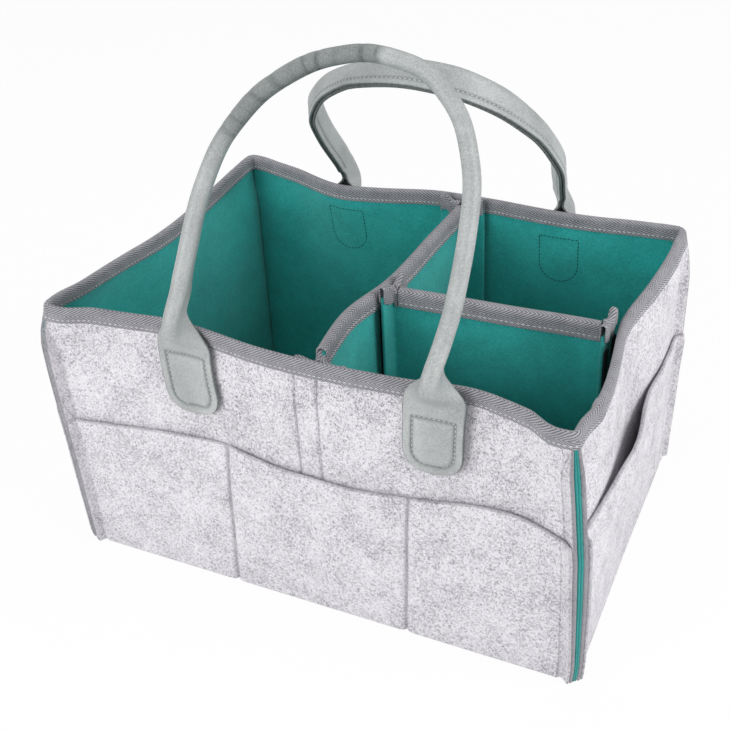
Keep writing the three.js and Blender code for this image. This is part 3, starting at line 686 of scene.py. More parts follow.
def acrossStops(wall, extra=()):
    # Stops along a wall: close together at the folds, then out along both seams
    half = wall["halfSpan"]
    middle = np.linspace(-1, 1, int(2 * half / felt["columnStep"]))
    fine = 1 - np.array(felt["foldStops"]) / half
    inner = np.sort(np.concatenate([middle[np.abs(middle) < fine[-1] - 0.01], np.array(extra) / half]))
    inner = inner[np.concatenate([[True], np.diff(inner) > 0.25 / half])]
    beyond = np.array(felt["seamColumns"])
    return np.concatenate([-beyond[::-1], -fine, inner, fine[::-1], beyond])


def rowsTo(top, step, bottom):
    return np.linspace(bottom, top, int((top - bottom) / step) + 1)


def wallGrid(stops, reach, topAt, share):
    # The stop, s and z of each point of a sheet, whose rows share out each column's own height
    s = np.clip(stops, -1, 1) * reach
    z = felt["bottom"] + (topAt(s)[:, None] - felt["bottom"]) * share[None]
    return np.broadcast_to(stops[:, None], z.shape), np.broadcast_to(s[:, None], z.shape), z


def seamWearAndShade(grid, z):
    # Darker where felt is sewn into a seam: crushed felt, and painted shade along the fold and on the ridge
    # beyond it
    across = np.abs(grid)
    return (0.6 * gauss(across - 1.06, 0.035) + 0.16 * smooth((across - 1.1) / 0.1)) * smooth((176 - z) / 8)


def makeWallSheets():
    # An outer and a liner sheet for each wall: its surface at two depths, pressed in along the stitches
    share = rowsTo(1, felt["rowStep"] / 180, 0)
    for name, wall in walls.items():
        rows = felt["centreRows"].get(name, ())
        stops = acrossStops(wall, [row + d for row in rows for d in felt["rowColumns"]])
        grid, s, z = wallGrid(stops, wall["halfSpan"], lambda s: rimTop(wall, s) - felt["belowRim"], share)
        flatPart = np.abs(grid) < 1
        groove = -felt["hemSink"] * gauss(z - felt["hem"], 1.6)
        for row in rows:
            groove = groove - felt["rowSink"] * gauss(s - row, 0.9) - 0.25 * gauss(s - row, 4)
        groove = groove * flatPart - felt["seamSink"] * gauss(np.abs(grid) - 1.16, 0.1) * (z < 165)
        face = wallSurface(wall, grid, z, depths["outer"][1], groove)
        back = wallSurface(wall, grid, z, depths["outer"][0])
        # painted shade in the grooves of the stitched rows that hold the hook tape
        sewn = 0.35 * sum(gauss(s - row, 0.8) * flatPart for row in rows)
        wearAndShade = np.maximum(seamWearAndShade(grid, z), sewn)
        makeSheet(f"{name}Outer", face, back, greyFelt, "bag", f"{name}_outer_panel", "stretched", wearAndShade,
                  edgeWear=1.0)
        low, high = felt["linerShare"].get(name, (1, 1))
        grid = np.where(grid < -1, -1 + (grid + 1) * low, np.where(grid > 1, 1 + (grid - 1) * high, grid))
        face, back = (wallSurface(wall, grid, z, depth) for depth in depths["liner"][::-1])
        # painted shade: the liners darken towards their inside corners, below the rim
        wearAndShade = 0.35 * smooth((np.abs(grid) - 0.92) / 0.08) * smooth((178 - z) / 12)
        makeSheet(f"{name}Liner", face, back, tealFelt, "bag", f"{name}_liner_panel", "stretched", wearAndShade)


makeWallSheets()
print("walls made")


# Pockets
pockets = {
    # height of the top edge along s, of the front and back pockets and of the left and right ones
    "longTop": [(-163.7, 95.5), (-151.8, 97.2), (-134, 98.6), (-111.6, 102.3), (-86.6, 104.9),
                (-65, 106.7), (-49, 106.3), (-34, 104.6), (-13.7, 102.2), (5.8, 101.8), (24.7, 101.0),
                (46, 101.5), (64, 102.6), (84, 105.5), (106.7, 109.3), (124, 111.1), (141.6, 108.2),
                (153, 104.4), (163, 101)],
    "shortTop": [(-115, 106.0), (-90, 107.2), (-50, 108.4), (0, 108.5), (50, 107.6), (90, 106.4),
                 (115, 105.5)],
    "seams": ((-55.5, -50.9), (59.5, 65.3)),    # s of each seam at the bottom and at its top
    "seamTop": 103,
    "sewn": (8, 99),        # lowest and highest z of a seam's stitches
    "end": 152.0,           # s where the outer pockets end
    "belly": 1.8,           # how far a pocket stands off between its seams
    "narrower": 2.8,        # than the wall, at each end
    "rows": 27,
    # how far the top edge of a wide pocket stands off along s
    "gape": {
        "right": [(-110, 0), (-98, 0), (-84, 0.6), (-70, 1.9), (-56, 2.9), (-42, 5.0), (-28, 7.9),
                  (-14, 8.9), (0, 7.8), (14, 5.2), (28, 3.1), (42, 1.4), (56, 1.0), (70, 0.4), (110, 0)],
        "left": [(-110, 0), (-80, 1.5), (-50, 6.0), (-22, 9.6), (4, 10.4), (30, 8.2), (56, 4.0), (84, 0.8),
                 (110, 0)],
    },
}


def seamAt(name, k, z):
    # A pocket seam leans a little: its s at a height. The back wall's are the front's, mirrored.
    low, high = pockets["seams"][k if name == "front" else 1 - k]
    return (1 if name == "front" else -1) * (low + (high - low) * z / pockets["seamTop"])


def longTop(name, s):
    # Height of the front pockets' top edge, mirrored at the back
    return softCurve(pockets["longTop"], s if name == "front" else -s, 4.0)


def longPocketPuff(name, s, z, top):
    # Each pocket swells between its seams, quickly on the right of a seam and slowly on its left
    first, second = seamAt(name, 0, z), seamAt(name, 1, z)
    low = np.where(s < first, -pockets["end"], np.where(s < second, first, second))
    high = np.where(s < first, first, np.where(s < second, second, pockets["end"]))
    share = np.clip((s - low) / (high - low), 0, 1)
    rise = smooth(share / 0.09) * smooth((1 - share) / 0.28)
    up = np.clip(z / top, 0, 1)
    swell = 0.35 * np.sin(np.pi * np.clip((z - 8) / (top - 8), 0, 1)) + 0.75 * up ** 3
    cut = sum(-1.6 * gauss(s - seam, 0.9) - 0.6 * gauss(s - seam, 3.0) for seam in (first, second))
    return pockets["belly"] * rise * swell, cut


def makePockets():
    # One sheet of pockets on each wall: sewn down at two seams on the long walls, gaping on the short ones
    share = np.linspace(0, 1, pockets["rows"])
    for name, wall in walls.items():
        long = name in felt["centreRows"]
        near = [t for seam in pockets["seams"] for t in np.arange(min(seam) - 4, max(seam) + 4.1, 0.75)]
        stops = acrossStops(wall, [t if name == "front" else -t for t in near] if long else ())

        def topAt(s):
            return (longTop(name, s) if long else softCurve(pockets["shortTop"], s)) - 0.6

        grid, s, z = wallGrid(stops, wall["halfSpan"] - pockets["narrower"], topAt, share)
        top = z[:, -1:]
        within = np.abs(grid) < 1
        hem = -0.7 * gauss(z - felt["hem"], 1.5) * within - 0.5 * gauss(np.abs(grid) - 1.18, 0.12)
        # painted shade in the hem's groove
        sewn = 0.3 * gauss(z - felt["hem"], 1.0)
        if long:
            puff, cut = longPocketPuff(name, s, z, top)
            # painted shade in the grooves of the pocket seams
            sewn = np.maximum(sewn, 0.55 * sum(gauss(s - seamAt(name, k, z), 1.1) for k in (0, 1)))
        else:
            puff, cut = softCurve(pockets["gape"][name], s, 5) * smooth(z / top * 1.12 - 0.12) ** 1.15, 0.0
        face = wallSurface(wall, grid, z, depths["pocket"][1], (puff + cut) * within + hem)
        back = wallSurface(wall, grid, z, depths["pocket"][0], puff * within)
        wearAndShade = np.maximum(seamWearAndShade(grid, z), sewn * within)
        makeSheet(f"{name}Pocket", face, back, greyFelt, "bag", f"{name}_pocket_panel", "stretched", wearAndShade,
                  edgeWear=0.45)


makePockets()

# Marks that the stitches of the handles' tabs leave inside: middles along s, half width and heights
tabMarks = {"middles": {"front": (-75.0, 82.0), "back": (-82.0, 71.5)}, "half": 13.3, "top": 165,
            "round": 145}


def tabMark(middle):
    # s and z of a tab's stitches: down one side, round in a half circle, up and across
    half, top, low = tabMarks["half"], tabMarks["top"], tabMarks["round"]
    angle = np.linspace(0, np.pi, 16)
    s = middle + np.concatenate([[half, half], half * np.cos(angle), [-half, -half], [half]])
    z = np.concatenate([[top, low + 1], low - half * np.sin(angle), [low + 1, top], [top]])
    return resample(np.stack([s, z], -1), 1.0).T


def wallRow(name, s, z, depth, puff=0.0, inside=False):
    # A row of stitches on a wall: its points and the direction they face
    wall = walls[name]
    s, z = np.broadcast_arrays(np.asarray(s, float), np.asarray(z, float))
    facing = toBag(wall, 0 * s, 0 * s + (-1 if inside else 1), 0 * z)
    return onWall(wall, s, z, depth, puff), facing


def makeWallStitches():
    # Outside the rows that hold the hook tape, the pocket seams and the hem, inside the marks of the tabs
    grey, teal = [], []
    for name, rows in felt["centreRows"].items():
        for row in rows:
            z = np.linspace(longTop(name, row) + 1, felt["rowTop"], 40)
            grey.append(wallRow(name, row, z, depths["outer"][1], 0.05 - felt["rowSink"]))
        for k in (0, 1):
            z = np.linspace(*pockets["sewn"], 40)
            s = seamAt(name, k, z)
            belly, cut = longPocketPuff(name, s, z, longTop(name, s))
            grey.append(wallRow(name, s, z, depths["pocket"][1], belly + cut + 0.1))
        for middle in tabMarks["middles"][name]:
            teal.append(wallRow(name, *tabMark(middle), 0.0, 0.02, inside=True))
    for name, wall in walls.items():
        s = np.linspace(-wall["halfSpan"] + 6, wall["halfSpan"] - 6, 60)
        grey.append(wallRow(name, s, felt["hem"], depths["pocket"][1], -0.6))
    makeStitches("wall", "wallStitches", grey, greyThread, "bag")
    makeStitches("liner", "linerStitches", teal, tealThread, "bag")


makeWallStitches()
print("pockets made")


# Base
base = {
    "outer": {"clear": 2.3, "thick": 3.0, "top": 10.0, "bottom": 0.0},
    "liner": {"clear": 0.35, "thick": 1.8, "top": 12.1, "bottom": 1.2},
    "turnRadius": 2.2,      # of the turned-down edge, on its inside
    "roundness": 14,        # power of the superellipse that rounds the corners in plan
    "around": 160,
}


def makeBase(name, look, node, clear, thick, top, bottom):
    # A profile carried round a rounded rectangle: from the middle out along the top, down the turned edge,
    # round its raw end and back underneath. Its points are the distance in from the rectangle, and z.
    inner, outer, tip = base["turnRadius"], base["turnRadius"] + thick, thick / 2
    turn = np.linspace(0, np.pi / 2, 6)
    halfX, halfY = walls["right"]["reach"] - clear, walls["front"]["reach"] - clear
    inset = [halfY - 2, halfY * 0.66, halfY * 0.33, 14, 6]
    profile = [(d, top) for d in inset]
    profile += [(outer - outer * np.sin(t), top - outer * (1 - np.cos(t))) for t in turn]
    profile += [(0, bottom + tip)]
    end = np.linspace(0.5, np.pi - 0.5, 4)
    profile += [(tip - tip * np.cos(t), bottom + tip - tip * np.sin(t)) for t in end]
    profile += [(thick, bottom + tip)]
    profile += [(outer - inner * np.sin(t), top - thick - inner * (1 - np.cos(t))) for t in turn[::-1]]
    profile += [(d, top - thick) for d in inset[::-1]]
    inward, z = np.array(profile).T[:, :, None]
    # turned a little, so that no point falls on an axis, where the power would draw two together
    around = np.linspace(0, 2 * np.pi, base["around"], endpoint=False) + 0.01
    cos, sin = np.cos(around), np.sin(around)
    x = (halfX - inward) * np.sign(cos) * np.abs(cos) ** (2 / base["roundness"])
    y = (halfY - inward) * np.sign(sin) * np.abs(sin) ** (2 / base["roundness"])
    points = np.stack(np.broadcast_arrays(x, y, z), -1).reshape(-1, 3)
    makePiece(name, points, tubeFaces(*x.shape), look, "bag", [node])


makeBase("baseOuter", greyFelt, "base_outer_panel", **base["outer"])
makeBase("baseLiner", tealFelt, "base_liner_panel", **base["liner"])
print("base made")


# Rim tape
rim = {
    "thick": 0.8, "drop": 9.4, "outer": 3.6, "inner": -0.5, "corner": 2.0, "step": 2.4,
    "start": -88,           # s on the right wall, where the tape begins and laps over itself
    "overlap": 7,
    "lapRise": 0.7,
    "lapSpread": 0.24,
    "stitchesUp": 1.9,      # from the tape's lower edges
}


def rimPath(depth):
    # Plan line of the rim at a depth: along the four walls, with a quarter circle at each corner, started
    # and ended on the right wall where the tape laps over itself
    order = ["right", "back", "left", "front", "right"]
    spread = flare(bag["height"]) - rim["corner"]
    pieces = []
    for k, name in enumerate(order):
        wall = walls[name]
        end = wall["halfSpan"] + spread
        low = rim["start"] if k == 0 else -end
        high = rim["start"] + rim["overlap"] if k == 4 else end
        s = np.linspace(low, high, max(3, int((high - low) / rim["step"])))
        pieces.append(toBag(wall, s, wall["reach"] + depth - bow(wall, s, bag["height"]), rimTop(wall, s)))
        if k < 4:
            after = walls[order[k + 1]]
            angle = np.linspace(0, np.pi / 2, 9)[1:-1]
            radius = rim["corner"] + depth
            level = rimTop(wall, end)
            z = level + (rimTop(after, -after["halfSpan"]) - level) * angle / (np.pi / 2)
            n = wall["reach"] + spread + radius * np.cos(angle)
            pieces.append(toBag(wall, end + radius * np.sin(angle), n, z))
    return np.concatenate(pieces)


def makeRim():
    # A folded tape carried along the rim, as wide as the felt between its two lines
    halfWidth = (rim["outer"] - rim["inner"]) / 2
    path = rimPath((rim["outer"] + rim["inner"]) / 2)
    across = (rimPath(rim["inner"]) - rimPath(rim["outer"])) / (2 * halfWidth)
    across[:, 2] = 0
    length = lengthsAlong(path)
    lap = smooth((length - (length[-1] - rim["overlap"] - 2)) / 2)
    path[:, 2] += -rim["thick"] / 2 + 0.3 * ripple(length, 0 * length, 4.0) + lap * rim["lapRise"]
    spread = across * (1 + lap * rim["lapSpread"])[:, None]
    points, faces, uv = sweepParts(path, spread, arch(halfWidth, rim["drop"]), rim["thick"])
    makePiece("rimTape", points, faces, greyTape, "bag", ["rim_binding"], uv)
    low = path + [0, 0, rim["stitchesUp"] - rim["drop"]]
    out = halfWidth + rim["thick"] / 2 - 0.05
    rows = [(low + side * out, side) for side in (unit(-across), unit(across))]
    makeStitches("rim", "rimStitches", rows, whiteThread, "bag")


makeRim()
print("rim made")


# Dividers
dividers = {
    "felt": 2.0,
    "gap": 0.3,             # between the two layers of felt
    "bottom": 13.6,
    "top": 178.0,
    "rowStep": 0.036,       # as a share of the height
    "flangeWidth": {"main": 13.0, "cross": 10.0},
    "seat": 4.15,           # from a wall's liner line to the middle of the felt on its flange
    # plan lines of the two webs: x along y, and y along x
    "mainX": [(-111, 12), (-106, 11.8), (-98, 11.3), (-79, 8.3), (-60, 6.6), (-47, 7.3), (-33, 9.8),
              (-19, 12.8), (-6, 14.3), (8, 14.4), (25, 14.7), (47, 14.4), (72, 14.4), (92, 15), (111, 15)],
    "crossY": [(0, -21.5), (21, -20.6), (39.5, -19.5), (67, -18), (85, -15.9), (103, -14.5), (120, -13.2),
               (138, -12.2), (154, -12.0)],
    "crossStart": (-20.0, 6.9),     # y on the main divider where the cross divider starts, and how far off it
    "ends": {"front": 12.0, "back": -12.0, "right": -12.0},     # s on the walls where the webs end
    # the layers by their side of the web, and the flanges with the direction of their wall
    "layers": {"main": {1: "left", -1: "right"}, "cross": {1: "back", -1: "front"}},
    "flanges": {"main": {"front": (0, -1, 0), "back": (0, 1, 0)},
                "cross": {"left": (-1, 0, 0), "right": (1, 0, 0)}},
    "tapeTop": 181.2,
    "tapeThick": 1.2,
    "tapeDrop": 10.5,
    "trim": 6.5,            # how much lower the main divider's front flanges are
    "stitchesUp": 2.4,
}

# Hook tape: spans are the lowest and highest z and the number of rows
hooks = {
    "thick": 1.1,
    "halfWidth": 8.6,
    "clear": 0.25,          # from the felt of a flange
    "wallSpan": (19, 168, 26),
    "wallMiddles": {"front": 12.0, "back": -12.6, "right": -12.0},
    "wallDepth": -0.05,
    "dividerSpan": (19.4, 167.5, 24),
    "sideY": (-28, -13.5),  # on the main divider
    "sideDepth": 2.5,       # from the middle of its web
}


def wallClear(name, s):
    # The least room at s along a wall over the divider's height and width, less its seat
    wall = walls[name]
    grid, z = np.meshgrid(np.linspace(s - 13, s + 13, 9), np.linspace(15, bag["height"], 30))
    return wall["reach"] - float(bow(wall, grid, z).max()) - dividers["seat"]


def dividerLine(kind):
    # Middle line of a divider's web in plan, from one wall to the other
    ends = dividers["ends"]
    if kind == "main":
        y = np.linspace(-wallClear("front", ends["front"]), wallClear("back", ends["back"]), 90)
        return np.stack([softCurve(dividers["mainX"], y), y], -1)
    y0, off = dividers["crossStart"]
    x = np.linspace(float(softCurve(dividers["mainX"], y0)) + off, wallClear("right", ends["right"]), 70)
    return np.stack([x, softCurve(dividers["crossY"], x)], -1)


def layerPath(kind, side):
    # One layer in plan: in along a flange, round into the web and out along the other flange
    web = dividerLine(kind)
    along = unit(np.gradient(web, axis=0))
    left = np.stack([-along[:, 1], along[:, 0]], -1) * side * (dividers["felt"] + dividers["gap"]) / 2
    web = web + left
    spread = np.array([-1.0, 0.0]) if kind == "main" else np.array([0.0, 1.0])
    reach = side * spread * (dividers["flangeWidth"][kind] + dividers["felt"] / 2)
    first = reach
    if kind == "cross":
        # this end lies along the main divider, which slants
        rise = softCurve(dividers["mainX"], np.array([-32.0, -8.0]))
        first = side * unit(np.array([rise[1] - rise[0], 24.0])) * np.linalg.norm(reach)
    return soften(np.concatenate([[web[0] + first], web, [web[-1] + reach]]), 1.0, 1.5)


def planNormal(path):
    along = unit(np.gradient(path, axis=0))
    return np.stack([-along[:, 1], along[:, 0], 0 * along[:, 0]], -1)


def upright(line, levels):
    # A plan line carried up through levels, which may differ along it: a grid of points
    levels = np.broadcast_to(levels, (len(line), np.shape(levels)[-1]))
    return np.concatenate([np.broadcast_to(line[:, None], (*levels.shape, 2)), levels[..., None]], -1)


def makeLayer(kind, word, path):
    # One layer of felt: its plan line carried up, waved a little, with half the felt to either side
    order = np.arange(len(path)) * 1.0
    normal = planNormal(path)[:, None]
    trim = dividers["trim"] + 3 if kind == "main" else 0
    top = dividers["top"] - trim * smooth((20 - order) / 8)
    z = dividers["bottom"] + (top[:, None] - dividers["bottom"]) * rowsTo(1, dividers["rowStep"], 0)
    calm = smooth((dividers["top"] - z) / 90) * smooth(np.minimum(order, order[::-1]) / 25)[:, None]
    wave = 0.8 * ripple(order, 0, 2.0)[:, None] * calm
    middle = upright(path, z) + wave[..., None] * normal
    half = dividers["felt"] / 2 * normal
    makeSheet(f"{kind}{word.capitalize()}Layer", middle + half, middle - half, tealFelt, f"{kind}_divider",
              f"{kind}_divider_{word}_layer", "folded")


def makeFlangeHook(kind, word, line, end, toWall):
    # Hook tape on the face of a flange that looks at its wall
    line = resample(line[1:7], 1.0)
    normal = planNormal(line)
    normal = (normal * np.sign(normal @ np.array(toWall))[:, None])[:, None]
    low = dividers["felt"] / 2 + hooks["clear"]
    middle = upright(line, np.linspace(*hooks["dividerSpan"]))
    face, back = middle + normal * (low + hooks["thick"]), middle + normal * low
    makeSheet(f"{kind}{end.capitalize()}{word.capitalize()}Hook", face, back, blackTape, f"{kind}_divider",
              f"{kind}_divider_{end}_{word}_tape")


def flangeTape(side, line, trimmed):
    # Binding over the end of a flange, standing a little proud and crumpled at the tip
    line = soften(line[:21] if trimmed else line[:15], 1.0, 1.0)
    tip = np.linspace(1, 0, len(line))
    if trimmed:
        rise = -dividers["trim"] * smooth((tip + 0.25) / 0.6) + 0.7 * np.sin(tip * 8 + side)
    else:
        rise = 4.4 * smooth(tip * 1.3) + 1.2 * np.sin(tip * 9 + side)
    path = np.concatenate([line, dividers["tapeTop"] + rise[:, None]], 1)
    section = arch(dividers["felt"] / 2 + 0.7, dividers["tapeDrop"], -0.6)
    return sweepParts(path, planNormal(line), section, 1.0)


def makeDivider(kind):
    # Two layers of felt back to back, whose ends turn out into flanges with hook tape, all bound at the top
    flanges = dividers["flanges"][kind].items()
    tapes = []
    for side, word in dividers["layers"][kind].items():
        path = layerPath(kind, side)
        makeLayer(kind, word, path)
        for line, (end, toWall) in zip((path, path[::-1]), flanges):
            makeFlangeHook(kind, word, line, end, toWall)
            tapes.append(flangeTape(side, line, end == "front"))
    web = soften(dividerLine(kind), 1.5, 2.0)[3:-3]
    level = dividers["tapeTop"] - 0.6 + 0.5 * ripple(np.arange(len(web)) * 1.5, 0, 3.1)
    path, across = np.concatenate([web, level[:, None]], 1), planNormal(web)
    halfWidth = dividers["felt"] + dividers["gap"] / 2 + 0.3 + dividers["tapeThick"] / 2
    tapes.append(sweepParts(path, across, arch(halfWidth, dividers["tapeDrop"]), dividers["tapeThick"]))
    points, faces, uv = joinParts(tapes)
    body = f"{kind}_divider"
    makePiece(f"{kind}Binding", points, faces, greyTape, body, [f"{kind}_divider_binding"], uv)
    low = path + [0, 0, dividers["stitchesUp"] - dividers["tapeDrop"]]
    rows = [(low + facing * (halfWidth + dividers["tapeThick"] / 2), facing) for facing in (across, -across)]
    makeStitches("divider", f"{kind}Stitches", rows, whiteThread, body)


for kind in ("main", "cross"):
    makeDivider(kind)


def makeWallHooks():
    # Hook tape sewn upright on the liners, and on the main divider's right side
    z = np.linspace(*hooks["wallSpan"])
    for name, middle in hooks["wallMiddles"].items():
        wall = walls[name]
        s = np.linspace(middle - hooks["halfWidth"], middle + hooks["halfWidth"], 9)
        across, level = np.meshgrid(s / wall["halfSpan"], z, indexing="ij")
        depth = hooks["wallDepth"]
        face = wallSurface(wall, across, level, depth)
        back = wallSurface(wall, across, level, depth - hooks["thick"])
        makeSheet(f"{name}Hook", face, back, blackTape, "bag", f"{name}_wall_tape")
    y = np.linspace(*hooks["sideY"], 10)
    line = np.stack([softCurve(dividers["mainX"], y), y], -1)
    normal = planNormal(line)
    normal = (normal * np.sign(normal[:, :1]))[:, None]
    middle = upright(line, np.linspace(*hooks["dividerSpan"]))
    face, back = (middle + normal * (hooks["sideDepth"] + out) for out in (hooks["thick"], 0))
    makeSheet("mainSideHook", face, back, blackTape, "main_divider", "main_divider_side_tape")


makeWallHooks()
print("dividers made")


# Handles
strip = {
    "leather": 2.0,         # thickness
    "radius": 3.9,          # of the leather's middle round the cord
    "fin": 12.8,            # width of the flat on both sides of the closed fold
    "tabCorner": 14,
    "seat": 6.5,            # from the liner's line out to the middle of a tab
    "foldStart": 161,       # z where the leather begins to fold, and where it flexes
    "flex": 187,
    "stitchInset": 4.4,
    "finStitch": 3.4,
    "step": 1.6,
    "cordRadius": 2.6,
    "cordSides": 12,
    "cordStart": 44,        # above the flexing line
    "finStart": 22,
}

# Each handle in the frame of its wall: notes are points of its middle line in the plane it leans in, x along
# the wall and h up from the flexing line; tabs are the width, lowest z and cross stitches' z of its left and
# right tab; roll turns the leather about its line, in degrees, at even shares of the way, and fades in above
# the tabs; blendAt is the y in metres where the leather passes from the bag's motion to the handle's.
handles = {
    "front": {"lean": 32, "foldEnd": 190, "roll": (-15, -17, -6, 0, 10, 13), "rollFade": 40, "creases": 1.0,
              "blendAt": -0.106, "tabs": ((37.5, 124.7, 161), (33, 124, 157.5)),
              "notes": [(-68.3, -62.3), (-75.6, -20), (-73.8, -4), (-73.6, 35.3), (-73, 67.9),
                        (-66.4, 101), (-48.6, 131.3), (-20.6, 152.6), (13.5, 161.7), (48.7, 155.2),
                        (72.3, 132.5), (84.2, 100.4), (86.5, 66.6), (86.2, 32.1), (82, -4), (80.6, -20),
                        (80, -63)]},
    "back": {"lean": 42, "foldEnd": 187, "roll": (-24, -26, -2, -18, 8, 12), "rollFade": 16, "creases": 0.0,
             "blendAt": 0.109, "tabs": ((36, 127, 163), (36, 127, 163)),
             "notes": [(-82, -60), (-82, -20), (-81, -4), (-82, 20.8), (-88.2, 55.2), (-82.6, 94.3),
                       (-67.3, 126.1), (-44.5, 145.3), (-15.3, 152.1), (16.1, 144.1), (41.3, 125.6),
                       (63.2, 93.6), (69, 57.4), (70.8, 21.6), (73, -4), (72.5, -20), (71.5, -60)]},
}

# Angle through which the leather wraps round the cord so that its two raw edges just meet, and the width that
# it is cut to
stripArc = (np.pi - np.arcsin((strip["leather"] + 0.3) / 2 / np.hypot(strip["radius"], strip["fin"]))
            - np.arctan2(strip["fin"], strip["radius"]))
stripCut = 2 * (strip["radius"] * stripArc + strip["fin"])


def foldPoint(w, width, fold, lift):
    # Cross-section of the strip: w from its middle line, an arc that closes with fold, then straight fins.
    # p runs across and q outwards from the raw edges; rise is q of the middle line.
    arc = strip["radius"] * stripArc
    bend = np.maximum(fold, 1e-3) * stripArc
    radius = arc / bend

    def curve(v):
        within = np.clip(v, -arc, arc)
        angle = within / radius
        rest = np.abs(v) - np.abs(within)
        return (radius * np.sin(angle) + np.sign(v) * rest * np.cos(bend),
                radius * (np.cos(angle) - 1) - rest * np.sin(bend), angle)

    p, q, angle = curve(w)
    rise = -curve(width / 2)[1]
    return p + lift * np.sin(angle), q + rise + lift * np.cos(angle), rise


def crowding(at, w):
    # Uneven creases across the leather: a sine of a drifting phase, sharpened, deeper in some places
    phase = 2 * np.pi * at / 10.5 + 1.7 * np.sin(at * 0.13 + 1) + 0.16 * w * np.sin(at * 0.071)
    return np.maximum(np.sin(phase), 0) ** 2 * (0.6 + 0.4 * np.sin(at * 0.19))


class HandleShape:
    # The middle line of one handle, from the end of one tab to the other, and the leather round it
    def __init__(self, name):
        self.wall, self.shape = walls[name], handles[name]
        notes = np.array(self.shape["notes"], float)
        self.line = soften(notes, strip["step"], 9.0)
        self.length = np.arange(len(self.line)) * strip["step"]
        self.along = unit(np.gradient(self.line, axis=0))
        # where each half of the handle meets the rim, and its tab's width, lowest z and cross row
        necks = notes[2, 0], notes[-3, 0]
        seat = self.wall["reach"] + strip["seat"]
        self.feet = [seat - float(bow(self.wall, x, bag["height"])) for x in necks]
        first = (np.arange(len(self.line)) < len(self.line) / 2)[:, None]
        left, right = ((*tab, x) for tab, x in zip(self.shape["tabs"], necks))
        self.width, self.bottom, self.row, self.side = np.where(first, left, right).T
        # the lean grows above the rim: how far in and up a point lies at each length up the handle
        heights = np.linspace(-70, 330, 1601)
        lean = np.radians(self.shape["lean"]) * smooth((heights + 8) / 34)
        step = heights[1] - heights[0]
        moves = -np.cumsum(np.sin(lean)) * step, np.cumsum(np.cos(lean)) * step
        self.lean = heights, lean, *(move - np.interp(0, heights, move) for move in moves)
        aloft = self.length[self.line[:, 1] > -4]
        share = np.clip((self.length - aloft[0]) / (aloft[-1] - aloft[0]), 0, 1)
        degrees = self.shape["roll"]
        roll = np.interp(share, np.linspace(0.1, 0.9, len(degrees)), np.radians(degrees))
        self.roll = roll * smooth((self.line[:, 1] + 8) / self.shape["rollFade"])
        # two fine pleats along the right arm, and creases across the left shoulder
        pleated = smooth((share - 0.62) / 0.08) * smooth((0.99 - share) / 0.08)
        # the creases also darken the leather's mark with painted shade
        creased = smooth((share - 0.24) / 0.05) * smooth((0.535 - share) / 0.02)
        self.pleats, self.creases = self.shape["creases"] * pleated, self.shape["creases"] * creased

    def take(self, at, *values):
        # Values along the line, read off at some lengths
        return [np.interp(at, self.length, value) for value in values]

    def widths(self, at):
        # Cut width, fold and the share of the width that the round tab ends leave, at lengths along the line
        h, wide, bottom = self.take(at, self.line[:, 1], self.width, self.bottom)
        z = h + strip["flex"]
        fold = smooth((z - strip["foldStart"]) / (self.shape["foldEnd"] - strip["foldStart"]))
        rise = np.clip((z - bottom) / strip["tabCorner"], 0.01, 1)
        left = 1 - strip["tabCorner"] / (wide / 2) * (1 - np.sqrt(1 - (1 - rise) ** 2))
        return wide + (stripCut - wide) * fold, fold, left

    def point(self, at, w, lift):
        # A point of the leather: at along the line, w across it, lift out of its middle surface
        x, h, alongX, alongH = self.take(at, *self.line.T, *self.along.T)
        wide, side, roll = self.take(at, self.width, self.side, self.roll)
        width, fold, _ = self.widths(at)
        p, q, rise = foldPoint(w, width, fold, lift)
        q = q - rise / 2 * smooth((h + 4) / 22)
        if lift > 0:
            # pressed in along the tab's stitches, soft within them and swelling above its cross row
            groove, toEdge, row = self.grooves(at, w, 0.8)
            soft = 0.8 * smooth(-(toEdge + strip["stitchInset"]) / 4) * smooth(-row / 4)
            q = q + soft + 0.9 * gauss(row - 5, 3.5) * (np.abs(w) < 17) - groove
            # the fin's stitches, the pleats beside the top and the creases where the leather is crowded
            pleats, creases = self.take(at, self.pleats, self.creases)
            fromRaw = stripCut / 2 - np.abs(w)
            p = p - np.sign(w) * smooth((h - 16) / 12) * 0.35 * gauss(fromRaw - strip["finStitch"], 0.8)
            q = q + pleats * 0.4 * gauss(np.abs(w + 1.5) - 2.6, 0.8)
            q = q - creases * 1.1 * crowding(at, w) * smooth((14 - np.abs(w)) / 5)
        p, q = q * np.sin(roll) + p * np.cos(roll), q * np.cos(roll) - p * np.sin(roll)
        across, upwards = x - alongH * p, h + alongX * p
        heights, lean, inward, upward = self.lean
        theta = np.interp(h, heights, lean)
        # the tab lies on the felt with its left edge and stands off it a little with its right one; above the
        # rim both feet blend along the arch
        level = np.clip(upwards + strip["flex"], 0, bag["height"])
        leftBow = bow(self.wall, side - wide / 2, level)
        hereBow = bow(self.wall, across, level)
        hereBow = np.minimum(hereBow, leftBow + 0.55 * (hereBow - leftBow))
        pressed = smooth((level - bag["pressFrom"]) / bag["pressOver"])
        seat = strip["seat"] - 1.3 * pressed + 1.6 * smooth((across - side - 3) / 14)
        onTab = self.wall["reach"] + seat - hereBow
        share = smooth((x / 78 + 1) / 2)
        foot = onTab + (self.feet[0] + (self.feet[1] - self.feet[0]) * share - onTab) * smooth((h + 6) / 30)
        n = foot + np.interp(upwards, heights, inward) + q * np.cos(theta)
        height = strip["flex"] + np.interp(upwards, heights, upward) + q * np.sin(theta)
        return toBag(self.wall, across, n, height)

    def grooves(self, at, w, width):
